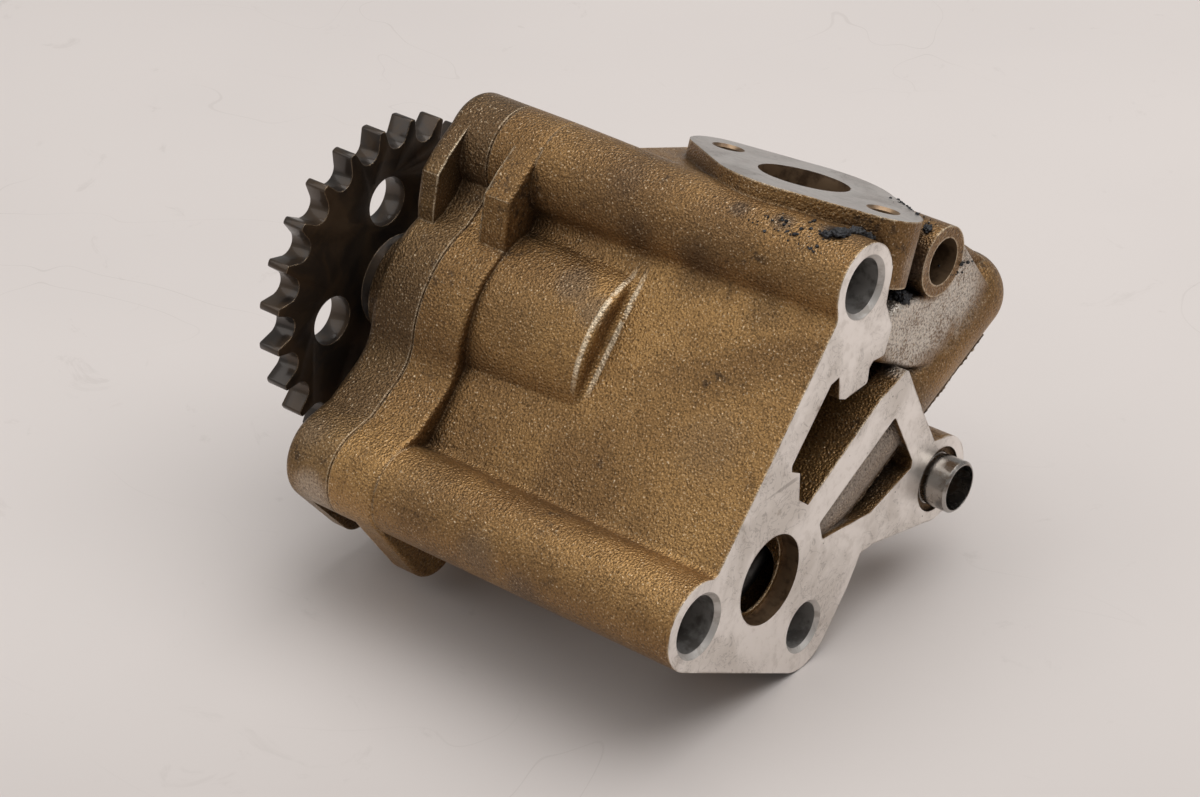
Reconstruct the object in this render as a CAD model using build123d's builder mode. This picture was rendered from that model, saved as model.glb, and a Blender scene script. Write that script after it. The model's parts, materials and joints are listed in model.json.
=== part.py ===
from build123d import *
import os
from math import acos, cos, degrees, hypot, pi, radians, sin, sqrt

os.makedirs("parts", exist_ok=True)

# A chain driven engine oil pump with two external gears. The part lies on its side:
# x runs along the drive shaft, from the sprocket to the mounting face at x = 0, and z is
# up. Sections across the shaft are drawn in u (across the mounting face) and v (towards
# the pickup flange), and lie turns both about x. The origin is the mouth of the lower
# bolt bore on the mounting face. Every size is in millimetres, every angle in degrees.
lie = 21.5

# Stations along the shaft, measured back from the mounting face
body_length = 80.5
rim_thick = 11.0
body_fin_thick = 6.0
cover_thick = 11.5
cover_fin_thick = 5.0
plate_thick = 5.0

# The three fixing points of the mounting face: two bolt tubes and a dowelled lug
lower_bolt = (0.0, 0.0)
upper_bolt = (26.8, 61.6)
dowel_bolt = (73.3, 20.6)
bolt_bore_r = 4.6
lower_mouth_r = 5.6
lower_mouth_depth = 9.0
upper_mouth_r = 5.3
upper_mouth_depth = 9.0
bore_chamfer = 0.9
lower_tube_r = 8.8
lower_rim_r = 9.3
upper_tube_face_r = 8.4
upper_tube_rim_r = 9.6
dowel_lug_r = 8.9
dowel_lug_length = 14.0
web_thick = 5.0
web_lower_stand = 1.5
web_rise = 2.0
web_taper = 2.4 / 69.5
upper_groove_r = 2.6
lower_groove_r = 1.8

# Ring dowel that stands out of the third fixing point
ring_r = 5.3
ring_wall = 0.7
ring_length = 12.0
ring_stand = 5.0
ring_ease = 0.02
ring_relief = 0.25
ring_relief_top = 0.2
ring_groove_r = 6.7
ring_groove_depth = 0.8

# Oil ports and the spare bore in the mounting face
outlet = (20.2, 6.3)
outlet_mouth_r = 8.9
outlet_mouth_depth = 3.6
outlet_bore_r = 8.0
outlet_bore_length = 64.0
outlet_tube_r = 11.6
side_port = (36.7, -5.1)
side_mouth_r = 5.4
side_port_r = 4.6
side_port_depth = 16.0
side_boss_r = 9.3

# Gears: a spur pair of equal wheels, one on the drive shaft and one on a fixed pin
module = 1.8
teeth = 10
pressure_angle = 25.0
backlash = 0.16
gear_width = 30.0
end_play = 0.15
tip_gap = 0.15
drive_axis = (21.2, 30.8)
gear_line = -23.4
drive_shaft_r = 5.0
idler_pin_r = 4.0
bush_wall = 1.8
idler_bush_wall = 1.2
rear_bush_length = 9.0
bush_recess = 0.5
shaft_recess = 0.5
running_gap = 0.03
key_width = 2.5
key_length = 14.0
key_stand = 0.9

# Gear housing and its outlines
bulge = (28.6, 31.8)
bulge_r = 19.8
bulge_stand = 5.0
bulge_end = 43.0
idler_wall = 4.4
rear_boss_r = 8.1
rear_boss_end = 37.0
seam_disc = (28.0, 30.0)
seam_disc_r = 21.6
cover_boss_r = 12.0
cover_boss_height = 3.2
cover_boss_taper = 8.0
cover_round = 2.0
rim_round = 0.8
bulge_round = 1.2
bulge_foot_round = 1.6
seam_break = 0.25
chamber_wall = 1.2
knee_r = 9.0
neck_r = 4.0

# Cover screws and cover dowels
cover_pin_depth = 8.0
screw_spots = [(17.0, -9.0), (51.5, 9.0), (55.0, 50.5)]
screw_boss_r = 7.0
screw_r = 3.0
screw_head_r = 5.0
screw_head_height = 6.0
screw_reach = 9.5
screw_gap = 0.3
screw_socket_across = 5.0
screw_socket_depth = 3.0
pin_spots = [(7.0, 9.5), (47.5, 58.0)]
pin_r = 2.5
pin_length = 12.0
body_lug = (13.8, -12.3)
body_lug_r = 7.2
cover_lug = (10.5, -10.0)
cover_lug_r = 5.8

# Pickup flange and the duct below it
flange_height = 73.4
flange_depth = 12.8
port = (-26.9, 41.9)
port_r = 8.85
flange_pitch = 39.2
flange_turn = -7.9
flange_tip_r = 7.5
flange_mid_r = 17.3
flange_tap_r = 2.6
flange_tap_depth = 11.0
duct_top = 70.0
duct_front = 5.0
duct_back = 57.5
flange_tap_break = 0.6
pocket_wall_front = 14.0
pocket_wall_thick = 10.0
inlet_tunnel = (40.0, 51.5)
inlet_tunnel_r = 6.5
inlet_tunnel_front = 18.0
gear_pocket_r = 4.0
gear_pocket_reach = 10.0

# Sprocket: 24 teeth for an 8 mm pitch bush chain
chain_pitch = 8.0
roller_r = 2.5
roller_gap = 0.1
sprocket_teeth = 24
sprocket_tip_r = 32.7
sprocket_width = 5.0
sprocket_gap = 6.8
sprocket_phase = 1.6
seat_sweep = 62.0
crown_half = 1.35
crown_rise = 0.15
hub_r = 9.5
hub_gap = 0.5
light_hole_r = 4.9
light_hole_ring_r = 17.8
light_hole_count = 4
light_hole_phase = 115.0
washer_r = 9.0
washer_thick = 1.8
washer_gap = 0.2
bolt_r = 3.0
bolt_length = 16.0
bolt_head_across = 10.0
bolt_head_height = 4.2
bolt_flange_r = 6.6
bolt_flange_thick = 1.3

# Relief valve: a plunger and spring in a barrel that crosses behind the mounting face
valve_x = -9.6
valve_end = (80.3, 55.0)
valve_angle = 44.6
barrel_r = 8.4
valve_bore_r = 5.45
valve_length = 87.5
valve_top = 6.0
plunger_r = 5.4
plunger_length = 18.0
plunger_wall = 1.2
plunger_start = 48.0
plunger_travel = 8.0
plunger_nose = 3.0
plug_r = 5.8
plug_thread = 6.2
plug_head_r = 6.9
plug_head_thick = 3.4
plug_gap = 0.3
spot_face_depth = 14.0
plug_washer_thick = 1.0
plug_stem_r = 2.2
plug_socket_across = 6.0
plug_socket_depth = 4.0
seat_thick = 2.0
seat_gap = 0.15
seat_peg_height = 3.0
seat_peg_taper = 8.0
peg_gap = 0.3
spring_wire_r = 0.6
spring_mean_r = 3.5
spring_turns = 13
spill_r = 3.0
spill_land = 0.5

# Blind boss beside the flange, and the web that ties it to the barrel
small_boss = (55.4, 64.8)
small_boss_r = 6.95
small_bore_r = 4.6
small_boss_face = 1.5
small_boss_length = 16.0
small_boss_floor = 3.0
boss_web_front = 6.0
boss_web_thick = 8.0
boss_web_inset = 1.0

# Bridge that ties the plate to the boss and the barrel, just below the mounting face
bridge_front = 2.4
bridge_thick = 6.0
bridge_round = 1.2

# Small edge breaks
pin_chamfer = 0.4
shaft_chamfer = 0.5
ring_chamfer = 0.45
washer_chamfer = 0.4
window_corner_r = 0.7
plate_corner_r = 0.8


def along(u, v):
    """Direction in the part's frame of the section direction (u, v)."""
    turn = radians(lie)
    return Vector(0, u * cos(turn) + v * sin(turn), v * cos(turn) - u * sin(turn))


def across(x):
    """Plane across the shaft at station x, drawn in u and v."""
    return Plane(origin=(x, 0, 0), x_dir=along(1, 0), z_dir=(1, 0, 0))


def facing_sprocket(distance, spot):
    """Plane at a spot across the shaft that looks towards the sprocket: its holes run to +x."""
    return Plane(origin=Vector(-distance, 0, 0) + along(*spot), x_dir=along(1, 0), z_dir=(-1, 0, 0))


def above(v):
    """Plane parallel to the pickup flange at height v, drawn in x and u."""
    return Plane(origin=along(0, v), x_dir=(1, 0, 0), z_dir=along(0, 1))


def down_valve(distance):
    """Plane across the valve bore, at a distance from the closed end towards the plug."""
    du = -cos(radians(valve_angle))
    dv = -sin(radians(valve_angle))
    centre = Vector(valve_x, 0, 0) + along(valve_end[0] + du * distance, valve_end[1] + dv * distance)
    return Plane(origin=centre, x_dir=(1, 0, 0), z_dir=along(du, dv))


def polar(centre, radius, angle):
    """Point at a radius and angle from a centre."""
    return (centre[0] + radius * cos(radians(angle)), centre[1] + radius * sin(radians(angle)))


def disc(centre, radius, mode=Mode.ADD):
    """Draws a circle about a centre in the open sketch."""
    with Locations(centre):
        return Circle(radius, mode=mode)


def link(first, first_r, second, second_r):
    """Draws the hull of two circles in the open sketch."""
    one = disc(first, first_r, Mode.PRIVATE)
    two = disc(second, second_r, Mode.PRIVATE)
    make_hull(one.edges() + two.edges())


# Axes worked out from the sizes above
centre_distance = module * teeth
pitch_r = centre_distance / 2
idler_axis = polar(drive_axis, centre_distance, gear_line)
gear_tip_r = pitch_r + module
gear_root_r = pitch_r - 1.25 * module
chamber_r = gear_tip_r + tip_gap
chamber_depth = gear_width + 2 * end_play
chamber_floor = body_length - chamber_depth
drive_bush_r = drive_shaft_r + bush_wall
mesh_spot = polar(drive_axis, pitch_r, gear_line)
inlet_spot = polar(mesh_spot, gear_pocket_reach, gear_line + 90)
outlet_spot = polar(mesh_spot, gear_pocket_reach, gear_line - 90)
bolt_pitch = hypot(upper_bolt[0], upper_bolt[1])
web_dir = (upper_bolt[0] / bolt_pitch, upper_bolt[1] / bolt_pitch)
web_out = (-web_dir[1], web_dir[0])
cover_face = body_length + cover_thick
rim_front = body_length - rim_thick
web_rim_drop = rim_front * web_taper
sprocket_near = cover_face + sprocket_gap
sprocket_far = sprocket_near + sprocket_width
plunger_face = plunger_start + plunger_length
spill_distance = plunger_face - plunger_travel + spill_r + spill_land
flange_tips = [polar(port, flange_pitch / 2, flange_turn + half) for half in (0, 180)]
knees = [polar(seam_disc, seam_disc_r, 202), (5.0, 17.5)]
necks = [(18.8, 52.0)]
plate_corners = [(34.6, 65.4), (40.0, 53.8), (40.0, 48.0), (36.5, 42.9), (30.1, 40.2)]
plate_corners += [(17.6, 28.5), (50.4, 44.5)]


def spot_on(plane, spot):
    """Plane moved so that its origin is at a spot drawn on it."""
    return plane * Location((spot[0], spot[1], 0))


def countersink(bore_r, size):
    """Cuts a 45 degree chamfer round the mouth of a bore at the open location."""
    Cone(bore_r, bore_r + size, size, align=(Align.CENTER, Align.CENTER, Align.MAX), mode=Mode.SUBTRACT)


def beside(spot, offset):
    """Point beside a spot, offset towards the outer side of the web."""
    return (spot[0] + web_out[0] * offset, spot[1] + web_out[1] * offset)


def web_section(drop):
    """Draws the web's section in the open sketch, its outer side dropped towards the inside."""
    lower_stand = web_lower_stand - drop
    upper_stand = lower_stand + web_rise
    Polygon(
        beside(lower_bolt, lower_stand),
        beside(upper_bolt, upper_stand),
        beside(upper_bolt, lower_stand - web_thick),
        beside(lower_bolt, lower_stand - web_thick),
        align=None,
    )


def round_corners(sketch, spots, radius):
    """Rounds the corners of a sketch that lie nearest to the given spots."""
    fillet([sketch.vertices().sort_by_distance(Vector(*spot))[0] for spot in spots], radius)


def seam_outline():
    """Draws the joint outline that the body and the cover share in the open sketch."""
    disc(lower_bolt, lower_rim_r)
    disc(upper_bolt, upper_tube_rim_r)
    disc(seam_disc, seam_disc_r)
    link(lower_bolt, lower_rim_r, screw_spots[0], screw_boss_r)
    link(screw_spots[0], screw_boss_r, screw_spots[1], screw_boss_r)
    link(screw_spots[1], screw_boss_r, screw_spots[2], screw_boss_r)
    link(screw_spots[2], screw_boss_r, upper_bolt, upper_tube_rim_r)
    Polygon(
        lower_bolt,
        polar(lower_bolt, lower_rim_r, 124),
        (-0.2, 10.8),
        (5.0, 17.5),
        polar(seam_disc, seam_disc_r, 202),
        polar(seam_disc, seam_disc_r, 124),
        (18.8, 52.0),
        (19.7, 55.0),
        polar(upper_bolt, upper_tube_rim_r, 205),
        upper_bolt,
        screw_spots[2],
        screw_spots[1],
        screw_spots[0],
        align=None,
    )


def fin_outline(lug, lug_r):
    """Draws the joint outline with the fins and the lug that stand out beyond it."""
    seam_outline()
    link(lower_bolt, lower_rim_r, lug, lug_r)
    Polygon(
        upper_bolt,
        polar(upper_bolt, upper_tube_rim_r, 132),
        (14.1, 60.0),
        (11.9, 55.8),
        (12.9, 49.2),
        (13.9, 45.8),
        seam_disc,
        align=None,
    )


def flange_outline():
    """Draws the two bolt pickup flange in the open sketch, drawn in x and u."""
    middle = disc(port, flange_mid_r, Mode.PRIVATE)
    ends = [disc(tip, flange_tip_r, Mode.PRIVATE) for tip in flange_tips]
    make_hull(middle.edges() + ends[0].edges() + ends[1].edges())


# ---------------------------------------------------------------- pump body
# The three blocks with rounded cast edges are made first, and the body then takes them in
with BuildPart() as joint_rim:
    with BuildSketch(across(-body_length)) as rim:
        seam_outline()
        round_corners(rim, knees, knee_r)
        round_corners(rim, necks, neck_r)
    extrude(amount=rim_thick)
    with BuildSketch(across(-rim_front)) as fin:
        fin_outline(body_lug, body_lug_r)
        round_corners(fin, knees, knee_r)
    extrude(amount=-body_fin_thick)
    fillet(joint_rim.faces().sort_by(Axis.X)[-1].outer_wire().edges(), rim_round)
    chamfer(joint_rim.faces().sort_by(Axis.X)[0].outer_wire().edges(), seam_break)

with BuildPart() as gear_case:
    with BuildSketch(across(-body_length)) as housing:
        disc(bulge, bulge_r)
        link(drive_axis, chamber_r + chamber_wall, idler_axis, chamber_r + idler_wall)
    extrude(amount=body_length - bulge_end)
    fillet(gear_case.faces().sort_by(Axis.X)[-1].outer_wire().edges(), bulge_round)

with BuildPart() as bridge:
    with BuildSketch(across(-bridge_front)) as bridge_outline:
        Polygon(
            (36.2, 46.6), (55.0, 43.3), (68.1, 43.0), valve_end,
            (79.5, 58.0), (60.5, 69.8), small_boss, (53.6, 58.2), (46.4, 56.6), (41.3, 54.0), (36.2, 53.0),
            align=None,
        )
    extrude(amount=-bridge_thick)
    fillet(bridge.faces().sort_by(Axis.X)[-1].outer_wire().edges(), bridge_round)

with BuildPart() as pump_body:
    # Bolt tubes, the upper one widening towards the rim, and the web between them
    with BuildSketch(across(0)) as lower_tube:
        disc(lower_bolt, lower_tube_r)
    extrude(amount=-rim_front)
    with Locations(spot_on(across(0), upper_bolt)):
        Cone(upper_tube_rim_r, upper_tube_face_r, rim_front, align=(Align.CENTER, Align.CENTER, Align.MAX))
    for station, drop in ((0, 0), (rim_front, web_rim_drop)):
        with BuildSketch(across(-station)):
            web_section(drop)
    loft(ruled=True)
    web_spot = beside((upper_bolt[0] / 2, upper_bolt[1] / 2), web_lower_stand + (web_rise - web_rim_drop) / 2)
    web_middle = Vector(-rim_front / 2, 0, 0) + along(*web_spot)
    web_face = pump_body.faces().sort_by_distance(web_middle)[0]
    grooves = web_face.edges().sort_by(SortBy.LENGTH)[-2:].sort_by(Axis.Z)
    fillet(grooves[0], lower_groove_r)
    web_face = pump_body.faces().sort_by_distance(web_middle)[0]
    grooves = web_face.edges().sort_by(SortBy.LENGTH)[-2:].sort_by(Axis.Z)
    fillet(grooves[-1], upper_groove_r)

    # Gear case, with the round bulge that shows on the web
    add(gear_case.part)
    with BuildSketch(across(-body_length)) as bearing_boss:
        link(drive_axis, rear_boss_r, idler_axis, rear_boss_r)
    extrude(amount=body_length - rear_boss_end)
    bulge_foot = Vector(-bulge_end, 0, 0) + along(*beside(bulge, bulge_r - bulge_stand))
    fillet(pump_body.edges().sort_by_distance(bulge_foot)[0], bulge_foot_round)

    # Rim at the cover joint with its fins
    add(joint_rim.part)

    # Mounting plate: pad below the upper tube, strut, and arm to the dowelled lug
    with BuildSketch(across(0)) as plate:
        Polygon(
            (21.8, 55.4), (31.0, 66.5), (34.6, 65.4), (35.8, 58.0), (40.0, 53.8), (40.0, 48.0),
            (36.6, 47.1), (35.8, 45.8), (36.5, 42.9), (30.1, 40.2), (28.0, 40.4), (26.0, 44.7),
            (23.8, 43.4), (17.6, 28.5), (18.1, 27.3), (21.0, 26.8), (23.2, 21.4), (26.8, 20.1),
            (43.0, 39.0), (50.4, 44.5), (60.0, 35.7), (68.0, 28.8), polar(dowel_bolt, dowel_lug_r, 85),
            dowel_bolt, polar(dowel_bolt, dowel_lug_r, 268), (54.9, 9.4), (50.9, 8.0), (49.0, 0.5),
            polar(side_port, side_boss_r, -20), side_port, lower_bolt, (2.9, 7.8),
            align=None,
        )
        disc(dowel_bolt, dowel_lug_r)
        link(lower_bolt, lower_tube_r, side_port, side_boss_r)
        round_corners(plate, plate_corners, plate_corner_r)
    extrude(amount=-plate_thick)
    with BuildSketch(across(0)) as lug:
        disc(dowel_bolt, dowel_lug_r)
    extrude(amount=-dowel_lug_length)

    # Oil outlet tube and the block round the ports
    with BuildSketch(across(0)) as outlet_tube:
        disc(outlet, outlet_tube_r)
    extrude(amount=-body_length)
    with BuildSketch(across(0)) as port_block:
        link(outlet, outlet_tube_r, side_port, side_boss_r)
        link(lower_bolt, lower_tube_r, side_port, side_boss_r)
    extrude(amount=-(side_port_depth + 3))

    # Rib behind the strut
    with BuildSketch(across(0)) as rib:
        Polygon((26.8, 20.1), (43.0, 39.0), (49.0, 36.0), (32.6, 17.0), align=None)
    extrude(amount=-30)

    # Duct from the pickup flange to the gears
    with BuildSketch(across(-duct_front)) as duct_roof:
        Polygon((27.0, 61.0), (48.5, 61.0), (49.5, duct_top), (27.0, duct_top), align=None)
    extrude(amount=duct_front - duct_back)
    with BuildSketch(across(-body_length)) as duct:
        Polygon((22.0, 40.0), (50.5, 40.0), (50.5, 63.0), (27.0, 63.0), align=None)
    extrude(amount=body_length - 15)
    with BuildSketch(above(flange_height)) as flange:
        flange_outline()
    extrude(amount=-flange_depth)
    with BuildSketch(across(-pocket_wall_front)) as pocket_wall:
        Polygon((48.0, 62.0), (62.0, 62.0), (74.0, 52.0), (60.0, 42.0), (48.0, 42.0), align=None)
    extrude(amount=-pocket_wall_thick)

    # Relief valve barrel with its rounded end
    with BuildSketch(down_valve(0)) as barrel:
        Circle(barrel_r)
    extrude(amount=valve_length)
    with Locations(down_valve(0)):
        Sphere(barrel_r)

    # Small boss beside the flange, its web to the barrel, and the bridge to the plate
    add(bridge.part)
    with BuildSketch(across(-small_boss_face)) as boss:
        disc(small_boss, small_boss_r)
    extrude(amount=-small_boss_length)
    with BuildSketch(across(-boss_web_front)) as boss_web:
        link(small_boss, small_boss_r - boss_web_inset, valve_end, barrel_r - boss_web_inset)
    extrude(amount=-boss_web_thick)

    # Window between the struts
    with BuildSketch(across(0)) as window:
        Polygon(
            (50.3, 35.1), (61.3, 25.5), (61.7, 24.0), (50.5, 16.1), (35.2, 12.5), (32.6, 15.9), align=None
        )
        fillet(window.vertices(), window_corner_r)
    extrude(amount=-plate_thick, mode=Mode.SUBTRACT)
    with BuildSketch(down_valve(0)) as barrel_again:
        Circle(barrel_r)
    extrude(amount=valve_length)

    # Gear chamber, inlet and outlet pockets, bearing bores
    with BuildSketch(across(-body_length)) as chamber:
        disc(drive_axis, chamber_r)
        disc(idler_axis, chamber_r)
    extrude(amount=chamber_depth, mode=Mode.SUBTRACT)
    with BuildSketch(across(-body_length)) as inlet_pocket:
        link(inlet_spot, gear_pocket_r, inlet_tunnel, inlet_tunnel_r)
    extrude(amount=chamber_depth, mode=Mode.SUBTRACT)
    with BuildSketch(across(-body_length)) as tunnel:
        disc(inlet_tunnel, inlet_tunnel_r)
    extrude(amount=body_length - inlet_tunnel_front, mode=Mode.SUBTRACT)
    with BuildSketch(across(-body_length)) as outlet_pocket:
        link(outlet_spot, gear_pocket_r, outlet, outlet_bore_r - 1)
    extrude(amount=chamber_depth, mode=Mode.SUBTRACT)
    with BuildSketch(across(-chamber_floor)) as bush_seat:
        disc(drive_axis, drive_bush_r)
    extrude(amount=rear_bush_length, mode=Mode.SUBTRACT)
    with BuildSketch(across(-chamber_floor)) as pin_seat:
        disc(idler_axis, idler_pin_r)
    extrude(amount=rear_bush_length, mode=Mode.SUBTRACT)

    # Bores in the mounting face
    with Locations(spot_on(across(0), lower_bolt)):
        CounterBoreHole(bolt_bore_r, lower_mouth_r, lower_mouth_depth, body_length)
        countersink(lower_mouth_r, bore_chamfer)
    with Locations(spot_on(across(0), upper_bolt)):
        CounterBoreHole(bolt_bore_r, upper_mouth_r, upper_mouth_depth, body_length)
        countersink(upper_mouth_r, bore_chamfer)
    with Locations(spot_on(across(0), outlet)):
        CounterBoreHole(outlet_bore_r, outlet_mouth_r, outlet_mouth_depth, outlet_bore_length)
    with Locations(spot_on(across(0), side_port)):
        Hole(side_port_r, side_port_depth)
        countersink(side_port_r, side_mouth_r - side_port_r)
    with Locations(spot_on(across(0), dowel_bolt)):
        CounterBoreHole(ring_r, ring_groove_r, ring_groove_depth, ring_length - ring_stand)
        Hole(ring_r - ring_wall, dowel_lug_length)
    with Locations(spot_on(across(-small_boss_face), small_boss)):
        Hole(small_bore_r, small_boss_length - small_boss_floor)

    # Flange port and tapped holes
    with Locations(spot_on(above(flange_height), port)):
        Hole(port_r, flange_height - inlet_tunnel[1])
    with Locations(*[spot_on(above(flange_height), tip) for tip in flange_tips]):
        Hole(flange_tap_r, flange_tap_depth)
        countersink(flange_tap_r, flange_tap_break)

    # Bores for the cover screws and the cover pins
    with Locations(*[facing_sprocket(body_length, spot) for spot in screw_spots]):
        Hole(screw_r, screw_reach + screw_gap)
    with Locations(*[facing_sprocket(body_length, spot) for spot in pin_spots]):
        Hole(pin_r, pin_length / 2)

    # Valve bore, plug thread and the spill hole behind
    with Locations(down_valve(valve_length)):
        CounterBoreHole(valve_bore_r, plug_r, plug_thread, valve_length - valve_top)
    with Locations(down_valve(valve_length)):
        Cylinder(
            plug_head_r + plug_gap,
            spot_face_depth,
            align=(Align.CENTER, Align.CENTER, Align.MIN),
            mode=Mode.SUBTRACT,
        )
    with Locations(Plane(origin=down_valve(spill_distance).origin, z_dir=(-1, 0, 0))):
        Cylinder(spill_r, 2 * barrel_r, align=(Align.CENTER, Align.CENTER, Align.MIN), mode=Mode.SUBTRACT)

pump_body.part.label = "pump_body"
export_step(pump_body.part, "parts/pump_body.step")


# ---------------------------------------------------------------- front cover
with BuildPart() as front_cover:
    with BuildSketch(across(-body_length)) as joint:
        seam_outline()
        round_corners(joint, knees, knee_r)
        round_corners(joint, necks, neck_r)
    extrude(amount=-cover_thick)
    with BuildSketch(across(-cover_face)) as cover_fin:
        fin_outline(cover_lug, cover_lug_r)
        round_corners(cover_fin, knees, knee_r)
    extrude(amount=cover_fin_thick)
    fillet(front_cover.faces().sort_by(Axis.X)[0].outer_wire().edges(), cover_round)
    chamfer(front_cover.faces().sort_by(Axis.X)[-1].outer_wire().edges(), seam_break)
    with BuildSketch(across(-cover_face)) as shaft_boss:
        disc(drive_axis, cover_boss_r)
    extrude(amount=-cover_boss_height, taper=cover_boss_taper)
    with Locations(spot_on(across(-body_length), drive_axis)):
        Hole(drive_bush_r, cover_thick + cover_boss_height)
    with Locations(spot_on(across(-body_length), idler_axis)):
        Hole(idler_pin_r + running_gap, cover_pin_depth)
    with Locations(*[spot_on(across(-body_length), spot) for spot in (lower_bolt, upper_bolt)]):
        Hole(bolt_bore_r, cover_thick)
    with Locations(*[facing_sprocket(cover_face, spot) for spot in screw_spots]):
        CounterBoreHole(screw_r + screw_gap, screw_head_r + screw_gap, screw_head_height, cover_thick)
    with Locations(*[spot_on(across(-body_length), spot) for spot in pin_spots]):
        Hole(pin_r, pin_length / 2)
front_cover.part.label = "front_cover"
export_step(front_cover.part, "parts/front_cover.step")


# ---------------------------------------------------------------- shaft bushes
with BuildPart() as front_bush:
    with BuildSketch(across(-body_length)):
        disc(drive_axis, drive_bush_r)
        disc(drive_axis, drive_shaft_r + running_gap, Mode.SUBTRACT)
    extrude(amount=-(cover_thick + cover_boss_height - bush_recess))
front_bush.part.label = "front_shaft_bush"
export_step(front_bush.part, "parts/front_shaft_bush.step")

with BuildPart() as rear_bush:
    with BuildSketch(across(-chamber_floor)):
        disc(drive_axis, drive_bush_r)
        disc(drive_axis, drive_shaft_r + running_gap, Mode.SUBTRACT)
    extrude(amount=rear_bush_length)
rear_bush.part.label = "rear_shaft_bush"
export_step(rear_bush.part, "parts/rear_shaft_bush.step")


# ---------------------------------------------------------------- gears and their shafts
def involute(base_r, radius):
    """Angle in degrees between an involute's start and its point at a radius."""
    roll = sqrt((radius / base_r) ** 2 - 1)
    return degrees(roll) - degrees(acos(base_r / radius))


def gear_outline(centre, phase):
    """Draws a spur gear's outline in the open sketch, with one tooth at the phase angle."""
    base_r = pitch_r * cos(radians(pressure_angle))
    half_pitch = 90 / teeth - degrees(backlash / 4 / pitch_r) + involute(base_r, pitch_r)
    flank = [base_r + (gear_tip_r - base_r) * step / 4 for step in range(5)]
    half_widths = [half_pitch - involute(base_r, radius) for radius in flank]
    with BuildLine() as outline:
        for tooth in range(teeth):
            middle = phase + tooth * 360 / teeth
            rising = [polar(centre, r, middle - w) for r, w in zip(flank, half_widths)]
            falling = [polar(centre, r, middle + w) for r, w in zip(flank, half_widths)]
            foot = polar(centre, gear_root_r, middle - half_pitch)
            Line(foot, rising[0])
            Spline(*rising)
            ThreePointArc(rising[-1], polar(centre, gear_tip_r, middle), falling[-1])
            Spline(*reversed(falling))
            far_foot = polar(centre, gear_root_r, middle + half_pitch)
            Line(falling[0], far_foot)
            valley = polar(centre, gear_root_r, middle + 180 / teeth)
            ThreePointArc(far_foot, valley, polar(centre, gear_root_r, middle + 360 / teeth - half_pitch))
    make_face(outline.line.edges())


gear_start = body_length - end_play

with BuildPart() as drive_gear:
    with BuildSketch(across(-gear_start)):
        gear_outline(drive_axis, gear_line)
        disc(drive_axis, drive_shaft_r, Mode.SUBTRACT)
        with Locations(polar(drive_axis, drive_shaft_r, gear_line)):
            Rectangle(2 * key_stand, key_width, rotation=gear_line, mode=Mode.SUBTRACT)
    extrude(amount=gear_width)
drive_gear.part.label = "drive_gear"
export_step(drive_gear.part, "parts/drive_gear.step")

with BuildPart() as idler_gear:
    with BuildSketch(across(-gear_start)):
        gear_outline(idler_axis, gear_line + 180 + 180 / teeth)
        disc(idler_axis, idler_pin_r + running_gap + idler_bush_wall, Mode.SUBTRACT)
    extrude(amount=gear_width)
idler_gear.part.label = "idler_gear"
export_step(idler_gear.part, "parts/idler_gear.step")

with BuildPart() as idler_bush:
    with BuildSketch(across(-gear_start)):
        disc(idler_axis, idler_pin_r + running_gap + idler_bush_wall)
        disc(idler_axis, idler_pin_r + running_gap, Mode.SUBTRACT)
    extrude(amount=gear_width)
idler_bush.part.label = "idler_bush"
export_step(idler_bush.part, "parts/idler_bush.step")

with BuildPart() as idler_pin:
    with BuildSketch(across(-(chamber_floor - rear_bush_length))):
        disc(idler_axis, idler_pin_r)
    extrude(amount=-(rear_bush_length + chamber_depth + cover_pin_depth - bush_recess))
    chamfer(idler_pin.edges().filter_by(GeomType.CIRCLE), pin_chamfer)
idler_pin.part.label = "idler_pin"
export_step(idler_pin.part, "parts/idler_pin.step")

shaft_front = sprocket_far - shaft_recess
shaft_rear = chamber_floor - rear_bush_length + bush_recess
key_start = gear_start - (gear_width - key_length) / 2

with BuildPart() as drive_shaft:
    with BuildSketch(across(-shaft_front)):
        disc(drive_axis, drive_shaft_r)
    extrude(amount=shaft_front - shaft_rear)
    chamfer(drive_shaft.edges().filter_by(GeomType.CIRCLE), shaft_chamfer)
    with BuildSketch(across(-key_start)):
        with Locations(polar(drive_axis, drive_shaft_r, gear_line)):
            Rectangle(2 * key_stand, key_width, rotation=gear_line)
    extrude(amount=key_length, mode=Mode.SUBTRACT)
    with Locations(facing_sprocket(shaft_front, drive_axis)):
        Hole(bolt_r, bolt_length)
drive_shaft.part.label = "drive_shaft"
export_step(drive_shaft.part, "parts/drive_shaft.step")

with BuildPart() as gear_key:
    with BuildSketch(across(-key_start)):
        with Locations(polar(drive_axis, drive_shaft_r, gear_line)):
            Rectangle(2 * key_stand, key_width, rotation=gear_line)
    extrude(amount=key_length)
gear_key.part.label = "gear_key"
export_step(gear_key.part, "parts/gear_key.step")


# ---------------------------------------------------------------- sprocket
chain_r = chain_pitch / 2 / sin(pi / sprocket_teeth)


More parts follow.
